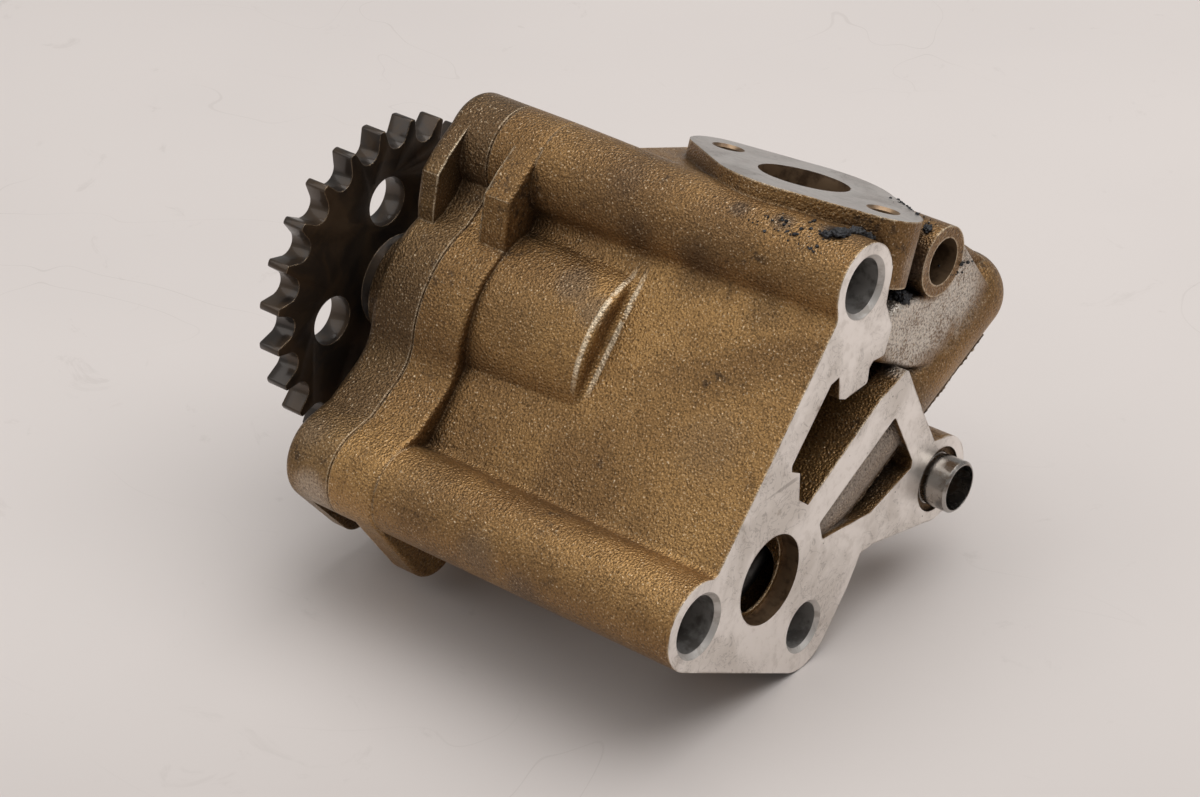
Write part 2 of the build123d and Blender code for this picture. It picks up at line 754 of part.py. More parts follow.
def sprocket_outline():
    """Draws the sprocket's outline: a round seat for each roller and a short crown between."""
    seat_r = roller_r + roller_gap
    half_step = 180 / sprocket_teeth
    with BuildLine() as outline:
        for tooth in range(sprocket_teeth):
            middle = sprocket_phase + tooth * 2 * half_step
            seat = polar(drive_axis, chain_r, middle)
            left = polar(seat, seat_r, middle + 180 - seat_sweep)
            right = polar(seat, seat_r, middle + 180 + seat_sweep)
            bottom = polar(seat, seat_r, middle + 180)
            ThreePointArc(left, bottom, right)
            crown_start = polar(drive_axis, sprocket_tip_r, middle + half_step - crown_half)
            crown_end = polar(drive_axis, sprocket_tip_r, middle + half_step + crown_half)
            crown_top = polar(drive_axis, sprocket_tip_r + crown_rise, middle + half_step)
            next_seat = polar(drive_axis, chain_r, middle + 2 * half_step)
            next_left = polar(next_seat, seat_r, middle + 2 * half_step + 180 - seat_sweep)
            Line(left, crown_start)
            ThreePointArc(crown_start, crown_top, crown_end)
            far_right = polar(next_seat, seat_r, middle + 2 * half_step + 180 + seat_sweep)
            Line(crown_end, far_right)
    make_face(outline.line.edges())


with BuildPart() as drive_sprocket:
    with BuildSketch(across(-sprocket_far)):
        sprocket_outline()
    extrude(amount=sprocket_width)
    with BuildSketch(across(-sprocket_near)):
        disc(drive_axis, hub_r)
    extrude(amount=sprocket_gap - cover_boss_height - hub_gap)
    with Locations(spot_on(across(-(cover_face + cover_boss_height + hub_gap)), drive_axis)):
        Hole(drive_shaft_r, sprocket_far)
    with Locations(spot_on(across(-sprocket_near), drive_axis)):
        with PolarLocations(light_hole_ring_r, light_hole_count, start_angle=light_hole_phase):
            Hole(light_hole_r, sprocket_width)
drive_sprocket.part.label = "drive_sprocket"
export_step(drive_sprocket.part, "parts/drive_sprocket.step")

with BuildPart() as sprocket_washer:
    with BuildSketch(across(-sprocket_far)):
        disc(drive_axis, washer_r)
        disc(drive_axis, bolt_r + washer_gap, Mode.SUBTRACT)
    extrude(amount=-washer_thick)
    chamfer(sprocket_washer.faces().sort_by(Axis.X)[0].outer_wire().edges(), washer_chamfer)
sprocket_washer.part.label = "sprocket_washer"
export_step(sprocket_washer.part, "parts/sprocket_washer.step")

with BuildPart() as sprocket_bolt:
    with BuildSketch(across(-(sprocket_far + washer_thick))):
        disc(drive_axis, bolt_flange_r)
    extrude(amount=-bolt_flange_thick)
    with BuildSketch(across(-(sprocket_far + washer_thick + bolt_flange_thick))):
        with Locations(drive_axis):
            RegularPolygon(bolt_head_across / 2, 6, major_radius=False)
    extrude(amount=-bolt_head_height)
    with BuildSketch(across(-(sprocket_far + washer_thick))):
        disc(drive_axis, bolt_r)
    extrude(amount=washer_thick + bolt_length)
sprocket_bolt.part.label = "sprocket_bolt"
export_step(sprocket_bolt.part, "parts/sprocket_bolt.step")


# ---------------------------------------------------------------- cover screws and pins
with BuildPart() as cover_screws:
    with Locations(*[facing_sprocket(cover_face, spot) for spot in screw_spots]):
        Cylinder(screw_head_r, screw_head_height, align=(Align.CENTER, Align.CENTER, Align.MAX))
        Cylinder(screw_r, cover_thick + screw_reach, align=(Align.CENTER, Align.CENTER, Align.MAX))
    with BuildSketch(*[facing_sprocket(cover_face, spot) for spot in screw_spots]):
        RegularPolygon(screw_socket_across / 2, 6, major_radius=False)
    extrude(amount=-screw_socket_depth, mode=Mode.SUBTRACT)
cover_screws.part.label = "cover_screws"
export_step(cover_screws.part, "parts/cover_screws.step")

with BuildPart() as cover_pins:
    with Locations(*[spot_on(across(-body_length), spot) for spot in pin_spots]):
        Cylinder(pin_r, pin_length)
    chamfer(cover_pins.edges().filter_by(GeomType.CIRCLE), pin_chamfer)
cover_pins.part.label = "cover_pins"
export_step(cover_pins.part, "parts/cover_pins.step")

with BuildPart() as ring_dowel:
    with BuildSketch(across(-ring_groove_depth)) as pressed_end:
        disc(dowel_bolt, ring_r)
        disc(dowel_bolt, ring_r - ring_wall, Mode.SUBTRACT)
    extrude(amount=ring_stand - ring_length + ring_groove_depth)
    with BuildSketch(across(-ring_groove_depth)) as undercut:
        disc(dowel_bolt, ring_r - ring_relief)
        disc(dowel_bolt, ring_r - ring_wall, Mode.SUBTRACT)
    extrude(amount=ring_groove_depth + ring_relief_top)
    with BuildSketch(across(ring_relief_top)) as free_end:
        disc(dowel_bolt, ring_r - ring_ease)
        disc(dowel_bolt, ring_r - ring_wall, Mode.SUBTRACT)
    extrude(amount=ring_stand - ring_relief_top)
    chamfer(ring_dowel.faces().sort_by(Axis.X)[-1].outer_wire().edges(), ring_chamfer)
ring_dowel.part.label = "ring_dowel"
export_step(ring_dowel.part, "parts/ring_dowel.step")


# ---------------------------------------------------------------- relief valve
seat_face = valve_top + seat_thick

with BuildPart() as spring_seat:
    with BuildSketch(down_valve(valve_top)):
        Circle(valve_bore_r - seat_gap)
    extrude(amount=seat_thick)
    with BuildSketch(down_valve(seat_face)):
        Circle(spring_mean_r - spring_wire_r - peg_gap)
    extrude(amount=seat_peg_height, taper=seat_peg_taper)
spring_seat.part.label = "spring_seat"
export_step(spring_seat.part, "parts/spring_seat.step")

spring_end = plunger_face - plunger_nose

with BuildPart() as relief_plunger:
    with BuildSketch(down_valve(plunger_start)):
        Circle(plunger_r)
    extrude(amount=plunger_length)
    chamfer(relief_plunger.edges().filter_by(GeomType.CIRCLE), pin_chamfer)
    with BuildSketch(down_valve(plunger_start)):
        Circle(plunger_r - plunger_wall)
    extrude(amount=plunger_length - plunger_nose, mode=Mode.SUBTRACT)
relief_plunger.part.label = "relief_plunger"
export_step(relief_plunger.part, "parts/relief_plunger.step")

# The coil runs inside the plunger, from the seat to the plunger's nose
coil_length = spring_end - seat_face - 2 * spring_wire_r
coil_start = down_valve(seat_face + spring_wire_r)
coil = coil_start * Helix(coil_length / spring_turns, coil_length, spring_mean_r)

with BuildPart() as relief_spring:
    with BuildSketch(Plane(origin=coil @ 0, z_dir=coil % 0)):
        Circle(spring_wire_r)
    sweep(path=coil, is_frenet=True)
relief_spring.part.label = "relief_spring"
export_step(relief_spring.part, "parts/relief_spring.step")

plug_seat = valve_length + plug_washer_thick
plug_top = plug_seat + plug_head_thick

with BuildPart() as relief_plug:
    with BuildSketch(down_valve(valve_length - plug_thread + plug_washer_thick)):
        Circle(plug_r)
    extrude(amount=plug_thread)
    with BuildSketch(down_valve(plug_seat)):
        Circle(plug_head_r)
    extrude(amount=plug_head_thick)
    chamfer(relief_plug.edges().group_by(SortBy.LENGTH)[-1], pin_chamfer)
    with BuildSketch(down_valve(plunger_face)):
        Circle(plug_stem_r)
    extrude(amount=plug_seat - plug_thread - plunger_face)
    with BuildSketch(down_valve(plug_top)):
        RegularPolygon(plug_socket_across / 2, 6, major_radius=False)
    extrude(amount=-plug_socket_depth, mode=Mode.SUBTRACT)
relief_plug.part.label = "relief_plug"
export_step(relief_plug.part, "parts/relief_plug.step")

with BuildPart() as plug_washer:
    with BuildSketch(down_valve(valve_length)):
        Circle(plug_head_r)
        Circle(plug_r + washer_gap, mode=Mode.SUBTRACT)
    extrude(amount=plug_washer_thick)
plug_washer.part.label = "plug_washer"
export_step(plug_washer.part, "parts/plug_washer.step")
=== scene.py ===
"""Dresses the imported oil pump: its finishes, its small details and a plain studio."""

import json
import logging
import math
import random
from dataclasses import dataclass, field
from enum import Enum

import bpy
from mathutils import Matrix, Vector

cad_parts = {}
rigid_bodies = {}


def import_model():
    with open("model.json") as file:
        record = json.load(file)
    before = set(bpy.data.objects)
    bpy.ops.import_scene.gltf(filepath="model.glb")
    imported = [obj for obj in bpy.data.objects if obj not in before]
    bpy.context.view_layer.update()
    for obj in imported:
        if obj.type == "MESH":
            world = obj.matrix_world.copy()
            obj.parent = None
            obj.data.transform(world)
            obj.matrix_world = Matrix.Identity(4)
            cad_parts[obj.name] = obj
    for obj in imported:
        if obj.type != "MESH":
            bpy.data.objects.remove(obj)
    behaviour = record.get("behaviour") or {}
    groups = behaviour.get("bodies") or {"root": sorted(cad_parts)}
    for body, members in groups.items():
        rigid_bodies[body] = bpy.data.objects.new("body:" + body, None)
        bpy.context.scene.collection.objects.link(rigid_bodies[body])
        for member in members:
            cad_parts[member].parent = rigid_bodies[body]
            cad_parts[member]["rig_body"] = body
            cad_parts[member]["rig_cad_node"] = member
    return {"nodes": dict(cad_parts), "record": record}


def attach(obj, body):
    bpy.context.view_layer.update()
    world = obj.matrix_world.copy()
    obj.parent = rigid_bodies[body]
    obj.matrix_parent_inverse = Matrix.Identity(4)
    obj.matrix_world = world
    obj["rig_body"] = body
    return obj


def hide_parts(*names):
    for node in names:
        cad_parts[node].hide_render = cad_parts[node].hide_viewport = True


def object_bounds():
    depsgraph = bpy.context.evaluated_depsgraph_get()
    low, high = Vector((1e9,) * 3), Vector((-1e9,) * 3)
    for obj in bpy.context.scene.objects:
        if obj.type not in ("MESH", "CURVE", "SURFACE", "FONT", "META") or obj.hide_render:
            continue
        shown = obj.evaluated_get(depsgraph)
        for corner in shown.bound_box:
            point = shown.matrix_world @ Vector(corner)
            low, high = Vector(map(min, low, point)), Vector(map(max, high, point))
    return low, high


LOG = logging.getLogger("oil_pump")
MM = 0.001
LIE = math.radians(21.5)
BARREL_TURN = math.radians(44.6)
SAME_PLANE = 0.05 * MM
FLAT = math.radians(0.5)
SHARP = math.radians(35)

Triple = tuple[float, float, float]
Colour = Triple
Quad = tuple[float, float, float, float]
Socket = bpy.types.NodeSocket
Material = bpy.types.Material
Object = bpy.types.Object

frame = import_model()
cad_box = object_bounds()


class Body(Enum):
    """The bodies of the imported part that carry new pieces."""

    HOUSING = "housing"
    DRIVE_TRAIN = "drive_train"


class Maths(Enum):
    """The sums that the finishes use."""

    ADD = "ADD"
    SUBTRACT = "SUBTRACT"
    MULTIPLY = "MULTIPLY"
    ABSOLUTE = "ABSOLUTE"


class Zone(Enum):
    """The kinds of surface on the pump body and the cover."""

    CAST = "cast"
    FACE = "milled_face"
    FLANGE = "milled_flange"
    BORE = "bore_wall"
    CHAMFER = "bore_chamfer"
    PORT = "port_wall"


def along(u: float, v: float) -> Vector:
    """Turns a section direction into the part's frame.

    Args:
        u: Part of the direction across the mounting face.
        v: Part of the direction towards the pickup flange.

    Returns:
        The same direction in the part's frame.
    """
    return Vector((0, u * math.cos(LIE) + v * math.sin(LIE), v * math.cos(LIE) - u * math.sin(LIE)))


def spot(x: float, u: float, v: float) -> Vector:
    """Point at a station and a section place, given in millimetres.

    Args:
        x: Station along the shaft.
        u: Place across the mounting face.
        v: Place towards the pickup flange.

    Returns:
        The point in metres.
    """
    return Vector((x * MM, 0, 0)) + along(u * MM, v * MM)


def mount(name: str) -> dict:
    """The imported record's mount of that name."""
    return next(m for m in frame["record"]["mounts"] if m["name"] == name)


SHAFT = Vector((1, 0, 0))
ORIGIN = Vector((0, 0, 0))
# The relief barrel's axis runs down from its closed end; its side looks at the pickup flange
BARREL_END = spot(-9.6, 80.3, 55.0)
BARREL_DOWN = along(-math.cos(BARREL_TURN), -math.sin(BARREL_TURN))
BARREL_SIDE = along(-math.sin(BARREL_TURN), math.cos(BARREL_TURN))


# ---- shader trees
class Tree:
    """Builds the node tree of one material."""

    edge_samples = 6
    oil_gloss = 0.12

    def __init__(self, name: str, colour: Colour) -> None:
        """Starts a material.

        Args:
            name: Name of the material.
            colour: Its first colour.
        """
        self.colour = colour
        self.material = bpy.data.materials.new(name)
        self.material.use_nodes = True
        self.nodes = self.material.node_tree.nodes
        self.links = self.material.node_tree.links
        self.nodes.clear()
        self.place = self.nodes.new("ShaderNodeTexCoord").outputs["Object"]

    def put(self, value: Socket | float | Colour, socket: Socket) -> None:
        """Links a socket, or sets a plain value, on an input.

        Args:
            value: Output socket or plain value.
            socket: Input that takes it.
        """
        if isinstance(value, Socket):
            self.links.new(value, socket)
        else:
            socket.default_value = (*value, 1.0) if isinstance(value, tuple) else value

    def noise(
        self,
        size: float,
        detail: float = 3.0,
        rough: float = 0.5,
        warp: float = 0.0,
        at: Socket | None = None,
    ) -> Socket:
        """Adds a noise pattern.

        Args:
            size: Width of its largest features, in metres.
            detail: Octaves of finer noise.
            rough: Weight of the finer noise.
            warp: Distortion.
            at: Coordinates, or None for the object's own.

        Returns:
            The pattern's factor.
        """
        node = self.nodes.new("ShaderNodeTexNoise")
        node.inputs["Scale"].default_value = 1 / size
        node.inputs["Detail"].default_value = detail
        node.inputs["Roughness"].default_value = rough
        node.inputs["Distortion"].default_value = warp
        self.links.new(at or self.place, node.inputs["Vector"])
        return node.outputs["Fac"]

    def cells(self, size: float) -> Socket:
        """Adds a cell pattern.

        Args:
            size: Width of a cell, in metres.

        Returns:
            The distance from the nearest cell's middle.
        """
        node = self.nodes.new("ShaderNodeTexVoronoi")
        node.inputs["Scale"].default_value = 1 / size
        self.links.new(self.place, node.inputs["Vector"])
        return node.outputs["Distance"]

    def stretch(self, scale: Triple, turn: Triple = (0, 0, 0)) -> Socket:
        """Stretches and turns the object's coordinates.

        Args:
            scale: Factor along each axis.
            turn: Angles about each axis, in radians.

        Returns:
            The new coordinates.
        """
        node = self.nodes.new("ShaderNodeMapping")
        node.inputs["Scale"].default_value = scale
        node.inputs["Rotation"].default_value = turn
        self.links.new(self.place, node.inputs["Vector"])
        return node.outputs["Vector"]

    def along_line(self, direction: Vector, origin: Vector) -> Socket:
        """Distance along a direction from an origin, in metres.

        Args:
            direction: Unit direction.
            origin: Point where the distance is zero.

        Returns:
            The signed distance.
        """
        node = self.nodes.new("ShaderNodeVectorMath")
        node.operation = "DOT_PRODUCT"
        self.links.new(self.place, node.inputs[0])
        node.inputs[1].default_value = direction
        return self.calc(Maths.SUBTRACT, node.outputs["Value"], direction.dot(origin))

    def away_from(self, origin: Vector) -> Socket:
        """Distance from a point.

        Args:
            origin: The point.

        Returns:
            The distance in metres.
        """
        node = self.nodes.new("ShaderNodeVectorMath")
        node.operation = "DISTANCE"
        self.links.new(self.place, node.inputs[0])
        node.inputs[1].default_value = origin
        return node.outputs["Value"]

    def calc(self, operation: Maths, first: Socket | float, second: Socket | float = 0.0) -> Socket:
        """Adds a math node.

        Args:
            operation: Kind of sum.
            first: First value.
            second: Second value.

        Returns:
            The result.
        """
        node = self.nodes.new("ShaderNodeMath")
        node.operation = operation.value
        self.put(first, node.inputs[0])
        self.put(second, node.inputs[1])
        return node.outputs[0]

    def times(self, *factors: Socket | float) -> Socket:
        """Multiplies masks and numbers.

        Args:
            factors: Values that are multiplied.

        Returns:
            The product.
        """
        product = factors[0]
        for factor in factors[1:]:
            product = self.calc(Maths.MULTIPLY, product, factor)
        return product

    def off_middle(self, value: Socket, middle: float) -> Socket:
        """How far a value lies from a middle, on either side."""
        return self.calc(Maths.ABSOLUTE, self.calc(Maths.SUBTRACT, value, middle))

    def step(self, value: Socket, low: float, high: float, top: float = 1.0) -> Socket:
        """Turns a value into a soft mask that rises from low to high.

        Args:
            value: Value that is read.
            low: Value where the mask is zero.
            high: Value where the mask is full.
            top: The full mask's value.

        Returns:
            The mask.
        """
        node = self.nodes.new("ShaderNodeMapRange")
        node.interpolation_type = "SMOOTHSTEP"
        self.put(value, node.inputs["Value"])
        node.inputs["From Min"].default_value = min(low, high)
        node.inputs["From Max"].default_value = max(low, high)
        node.inputs["To Min"].default_value = 0.0 if low < high else top
        node.inputs["To Max"].default_value = top if low < high else 0.0
        return node.outputs["Result"]

    def band(self, value: Socket, limits: Quad) -> Socket:
        """Mask of a range: its start, where it is full, where it fades and its end, in millimetres."""
        start, full, fade, end = (limit * MM for limit in limits)
        return self.times(self.step(value, start, full), self.step(value, end, fade))

    def around(self, place: Triple, low: float, high: float) -> Socket:
        """Mask by the distance from a section place: zero at low, full at high, in millimetres."""
        return self.step(self.away_from(spot(*place)), low * MM, high * MM)

    def lay(self, mask: Socket | float, colour: Colour) -> None:
        """Lays a colour over the colour so far.

        Args:
            mask: Where it shows, from zero to one.
            colour: The colour.
        """
        node = self.nodes.new("ShaderNodeMix")
        node.data_type = "RGBA"
        self.put(mask, node.inputs["Factor"])
        self.put(self.colour, node.inputs[6])
        self.put(colour, node.inputs[7])
        self.colour = node.outputs[2]

    def blend(self, share: Socket | float, base: Socket | float, other: Socket | float) -> Socket:
        """Mixes two numbers.

        Args:
            share: How much of the other number shows.
            base: Number at zero.
            other: Number at one.

        Returns:
            The mixed number.
        """
        node = self.nodes.new("ShaderNodeMix")
        node.data_type = "FLOAT"
        self.put(share, node.inputs[0])
        self.put(base, node.inputs[2])
        self.put(other, node.inputs[3])
        return node.outputs[0]

    def crevice(self, reach: float) -> Socket:
        """Openness of the surface: one in the open and zero deep in a corner.

        Args:
            reach: How far the corner is felt, in metres.

        Returns:
            The openness.
        """
        node = self.nodes.new("ShaderNodeAmbientOcclusion")
        node.samples = self.edge_samples
        node.inputs["Distance"].default_value = reach
        return node.outputs["AO"]

    def soft_edges(self, radius: float) -> Socket:
        """Normal with the edges rounded off.

        Args:
            radius: Radius of the rounding, in metres.

        Returns:
            The rounded normal.
        """
        node = self.nodes.new("ShaderNodeBevel")
        node.samples = self.edge_samples
        node.inputs["Radius"].default_value = radius
        return node.outputs["Normal"]

    def edge_wear(self, radius: float, low: float, high: float) -> Socket:
        """Mask of the surface next to an edge.

        Args:
            radius: Width of the band along the edge, in metres.
            low: Bend of the normal where the mask starts.
            high: Bend of the normal where the mask is full.

        Returns:
            The mask.
        """
        geometry = self.nodes.new("ShaderNodeNewGeometry")
        node = self.nodes.new("ShaderNodeVectorMath")
        node.operation = "DOT_PRODUCT"
        self.links.new(self.soft_edges(radius), node.inputs[0])
        self.links.new(geometry.outputs["Normal"], node.inputs[1])
        return self.step(self.calc(Maths.SUBTRACT, 1.0, node.outputs["Value"]), low, high)

    def bump(
        self, height: Socket, depth: float, strength: float = 1.0, normal: Socket | None = None
    ) -> Socket:
        """Adds relief to the normal.

        Args:
            height: Height pattern.
            depth: Height in metres of a full step of the pattern.
            strength: Weight of the relief.
            normal: Normal below it, or None for the surface's own.

        Returns:
            The new normal.
        """
        node = self.nodes.new("ShaderNodeBump")
        node.inputs["Strength"].default_value = strength
        node.inputs["Distance"].default_value = depth
        self.links.new(height, node.inputs["Height"])
        if normal is not None:
            self.links.new(normal, node.inputs["Normal"])
        return node.outputs["Normal"]

    def finish(
        self,
        rough: Socket | float,
        normal: Socket | None = None,
        metallic: float = 1.0,
        coat: float = 0.0,
    ) -> Material:
        """Closes the tree with one shader.

        Args:
            rough: Roughness.
            normal: Normal, or None for the surface's own.
            metallic: Share of metal.
            coat: Weight of a film of oil.

        Returns:
            The finished material.
        """
        shader = self.nodes.new("ShaderNodeBsdfPrincipled")
        output = self.nodes.new("ShaderNodeOutputMaterial")
        self.put(self.colour, shader.inputs["Base Color"])
        self.put(rough, shader.inputs["Roughness"])
        self.put(metallic, shader.inputs["Metallic"])
        shader.inputs["Coat Weight"].default_value = coat
        shader.inputs["Coat Roughness"].default_value = self.oil_gloss
        if normal is not None:
            self.links.new(normal, shader.inputs["Normal"])
        self.links.new(shader.outputs[0], output.inputs["Surface"])
        return self.material


# ---- finishes
@dataclass(frozen=True)
class Finish:
    """A named finish."""

    name: str

    def build(self) -> Material:
        """Builds the material; each kind of finish has its own."""
        raise NotImplementedError


@dataclass(frozen=True)
class Mark:
    """A place on a casting that a tint covers, with ragged limits; most are stains, some are painted shade
    and painted light.
    """

    place: Triple
    reach: float
    tint: Colour
    share: float
    core: float = 0.75
    limit: float = 1.45

    def mask(self, tree: Tree, ragged: Socket) -> Socket:
        """Mask of the mark.

        Args:
            tree: Tree that takes the nodes.
            ragged: Pattern that frays the mark's limits.

        Returns:
            The mask.
        """
        wide = self.reach * MM
        frayed = tree.calc(Maths.ADD, tree.away_from(spot(*self.place)), tree.times(ragged, wide))
        return tree.step(frayed, self.limit * wide, self.core * wide, self.share)


@dataclass(frozen=True)
class SandCast(Finish):
    """Sand cast aluminium, stained golden brown by hot oil, with painted shade in its corners and painted
    highlights on its grain and edges.
    """

    gold: Colour = (0.41, 0.235, 0.087)
    brown: Colour = (0.24, 0.132, 0.05)
    shadow: Colour = (0.04, 0.024, 0.014)
    grime: Colour = (0.016, 0.015, 0.017)
    # Pale colour of wear, also laid as a painted highlight on the grain, the edges and the body's ridges.
    pale_wear_and_highlight: Colour = (0.9, 0.74, 0.53)
    marks: tuple[Mark, ...] = ()
    broad_size: float = 45 * MM
    patch_size: float = 13 * MM
    crumb_size: float = 1.6 * MM
    grain_size: float = 0.42 * MM
    speck_size: float = 0.5 * MM
    swell_size: float = 3 * MM
    grain_depth: float = 0.34 * MM
    swell_depth: float = 0.22 * MM
    edge_round: float = 0.6 * MM
    wear_width: float = 0.8 * MM
    crevice_reach: float = 6 * MM
    metal: float = 0.8

    def bare_places(self, tree: Tree, crumbs: Socket) -> None:
        """Lays the places that lost their stain; a plain casting has none."""

    def relief(self, tree: Tree, grain: Socket) -> Socket:
        """Normal with the swell of the mould and the grain of its sand.

        Args:
            tree: Tree that takes the nodes.
            grain: Pattern of the sand.

        Returns:
            The normal.
        """
        specks = tree.times(tree.cells(self.speck_size), 0.5)
        height = tree.calc(Maths.ADD, tree.times(grain, 0.6), specks)
        swell = tree.noise(self.swell_size, 2.0, 0.5)
        normal = tree.bump(swell, self.swell_depth, 0.5, tree.soft_edges(self.edge_round))
        return tree.bump(height, self.grain_depth, 0.9, normal)

    def build(self) -> Material:
        """Builds the material.

        Returns:
            The material.
        """
        tree = Tree(self.name, self.gold)
        broad = tree.noise(self.broad_size, 3.0, 0.55, 0.6)
        patch = tree.noise(self.patch_size, 5.0, 0.6, 0.3)
        crumbs = tree.noise(self.crumb_size, 3.0, 0.65)
        grain = tree.noise(self.grain_size, 2.0, 0.55)
        tree.lay(tree.step(broad, 0.36, 0.64), self.brown)
        tree.lay(tree.step(patch, 0.5, 0.72, 0.6), self.brown)
        for mark in self.marks:
            tree.lay(mark.mask(tree, patch), mark.tint)
        smudge = tree.times(tree.step(patch, 0.57, 0.68), tree.step(crumbs, 0.5, 0.6), 0.6)
        tree.lay(smudge, self.grime)
        self.bare_places(tree, crumbs)
        # Dark pits of the grain, then its bright tips: wear and a painted sparkle highlight.
        tree.lay(tree.step(grain, 0.52, 0.34, 0.55), self.shadow)
        tree.lay(tree.step(grain, 0.6, 0.76, 0.6), self.pale_wear_and_highlight)
        openness = tree.crevice(self.crevice_reach)
        # Edges in the open: wear, and a painted highlight along them.
        edges = tree.edge_wear(self.wear_width, 0.02, 0.14)
        wear_and_highlight = tree.times(edges, tree.step(crumbs, 0.34, 0.54), tree.step(openness, 0.72, 0.92), 0.85)
        tree.lay(wear_and_highlight, self.pale_wear_and_highlight)
        # Painted shade: darkens the colour in corners and crevices.
        tree.lay(tree.step(openness, 0.88, 0.3, 0.85), self.shadow)
        rough = tree.blend(tree.step(patch, 0.4, 0.7), 0.34, 0.48)
        return tree.finish(rough, self.relief(tree, grain), self.metal)


@dataclass(frozen=True)
class BodyCast(SandCast):
    """The pump body's casting, with bare metal by the relief barrel and a painted highlight on two ridges
    of the web.
    """

    bare: Colour = (0.74, 0.67, 0.59)
    skin: Colour = (0.36, 0.3, 0.25)
    fleck_size: float = 0.6 * MM
    blotch_size: float = 4 * MM
    fray_size: float = 6 * MM
    fray_depth: float = 8 * MM
    band_slant: float = 0.16
    bare_middle: Triple = (-3.0, 56.0, 53.0)
    boss_middle: Triple = (-3.0, 55.4, 64.8)
    flange_middle: Triple = (-6.0, 44.0, 68.0)
    skin_wide: Quad = (-4.5, -3, 9, 11)
    skin_long: Quad = (27, 30, 64, 67)
    skin_deep: Quad = (-13, -9, -1.4, -0.6)
    # Width limits of the painted ridge highlight, in millimetres.
    ridge_highlight_wide: Quad = (0.5, 0.9, 1.4, 1.9)
    bulge_end: float = -42.9
    bulge_foot: Triple = (-43.0, 11.5, 41.0)

    def grey_skin(self, tree: Tree) -> Socket:
        """Mask of the smooth grey skin on the barrel behind the window of the strut.

        Args:
            tree: Tree that takes the nodes.

        Returns:
            The mask.
        """
        from_axis = tree.along_line(BARREL_SIDE, BARREL_END)
        down = tree.along_line(BARREL_DOWN, BARREL_END)
        station = tree.along_line(SHAFT, ORIGIN)
        return tree.times(
            tree.band(from_axis, self.skin_wide),
            tree.band(down, self.skin_long),
            tree.band(station, self.skin_deep),
        )

    def ridge_highlight(self, tree: Tree) -> Socket:
        """Mask of the painted highlight on the two ridges at the foot of the bulge's end."""
        wide = tree.off_middle(tree.along_line(SHAFT, ORIGIN), self.bulge_end * MM)
        return tree.times(tree.band(wide, self.ridge_highlight_wide), tree.around(self.bulge_foot, 15, 9))

    def bare_band(self, tree: Tree) -> Socket:
        """Mask of the bright band between the plate and the relief barrel.

        Args:
            tree: Tree that takes the nodes.

        Returns:
            The mask.
        """
        ragged = tree.times(tree.noise(self.fray_size, 4.0, 0.6), self.fray_depth)
        down = tree.along_line(BARREL_DOWN, BARREL_END)
        from_axis = tree.calc(Maths.ADD, tree.along_line(BARREL_SIDE, BARREL_END), ragged)
        from_axis = tree.calc(Maths.SUBTRACT, from_axis, tree.times(down, self.band_slant))
        return tree.times(
            tree.step(from_axis, 4.5 * MM, 12 * MM),
            tree.step(down, 33 * MM, 28 * MM),
            tree.step(tree.along_line(SHAFT, ORIGIN), -9 * MM, -5 * MM),
            tree.around(self.bare_middle, 23, 13),
            tree.around(self.boss_middle, 7.2, 9.0),
            tree.around(self.flange_middle, 10, 13),
        )

    def bare_places(self, tree: Tree, crumbs: Socket) -> None:
        """Lays the grey skin, the flecked bare band and the painted highlight on the ridges.

        Args:
            tree: Tree that takes the nodes.
            crumbs: Fine pattern that frays the ridges.
        """
        tree.lay(self.grey_skin(tree), self.skin)
        bared = self.bare_band(tree)
        blotch = tree.times(tree.noise(self.blotch_size, 3.0, 0.6), 0.5)
        fleck = tree.calc(Maths.ADD, tree.noise(self.fleck_size, 3.0, 0.7), blotch)
        tree.lay(tree.times(bared, 0.55), self.skin)
        tree.lay(tree.times(bared, tree.step(fleck, 0.62, 0.78)), self.bare)
        tree.lay(tree.times(bared, tree.step(fleck, 0.6, 0.48, 0.9)), self.shadow)
        # Painted highlight on the two ridges at the bulge's end, frayed by the crumbs.
        tree.lay(tree.times(self.ridge_highlight(tree), tree.step(crumbs, 0.3, 0.5, 0.8)), self.pale_wear_and_highlight)


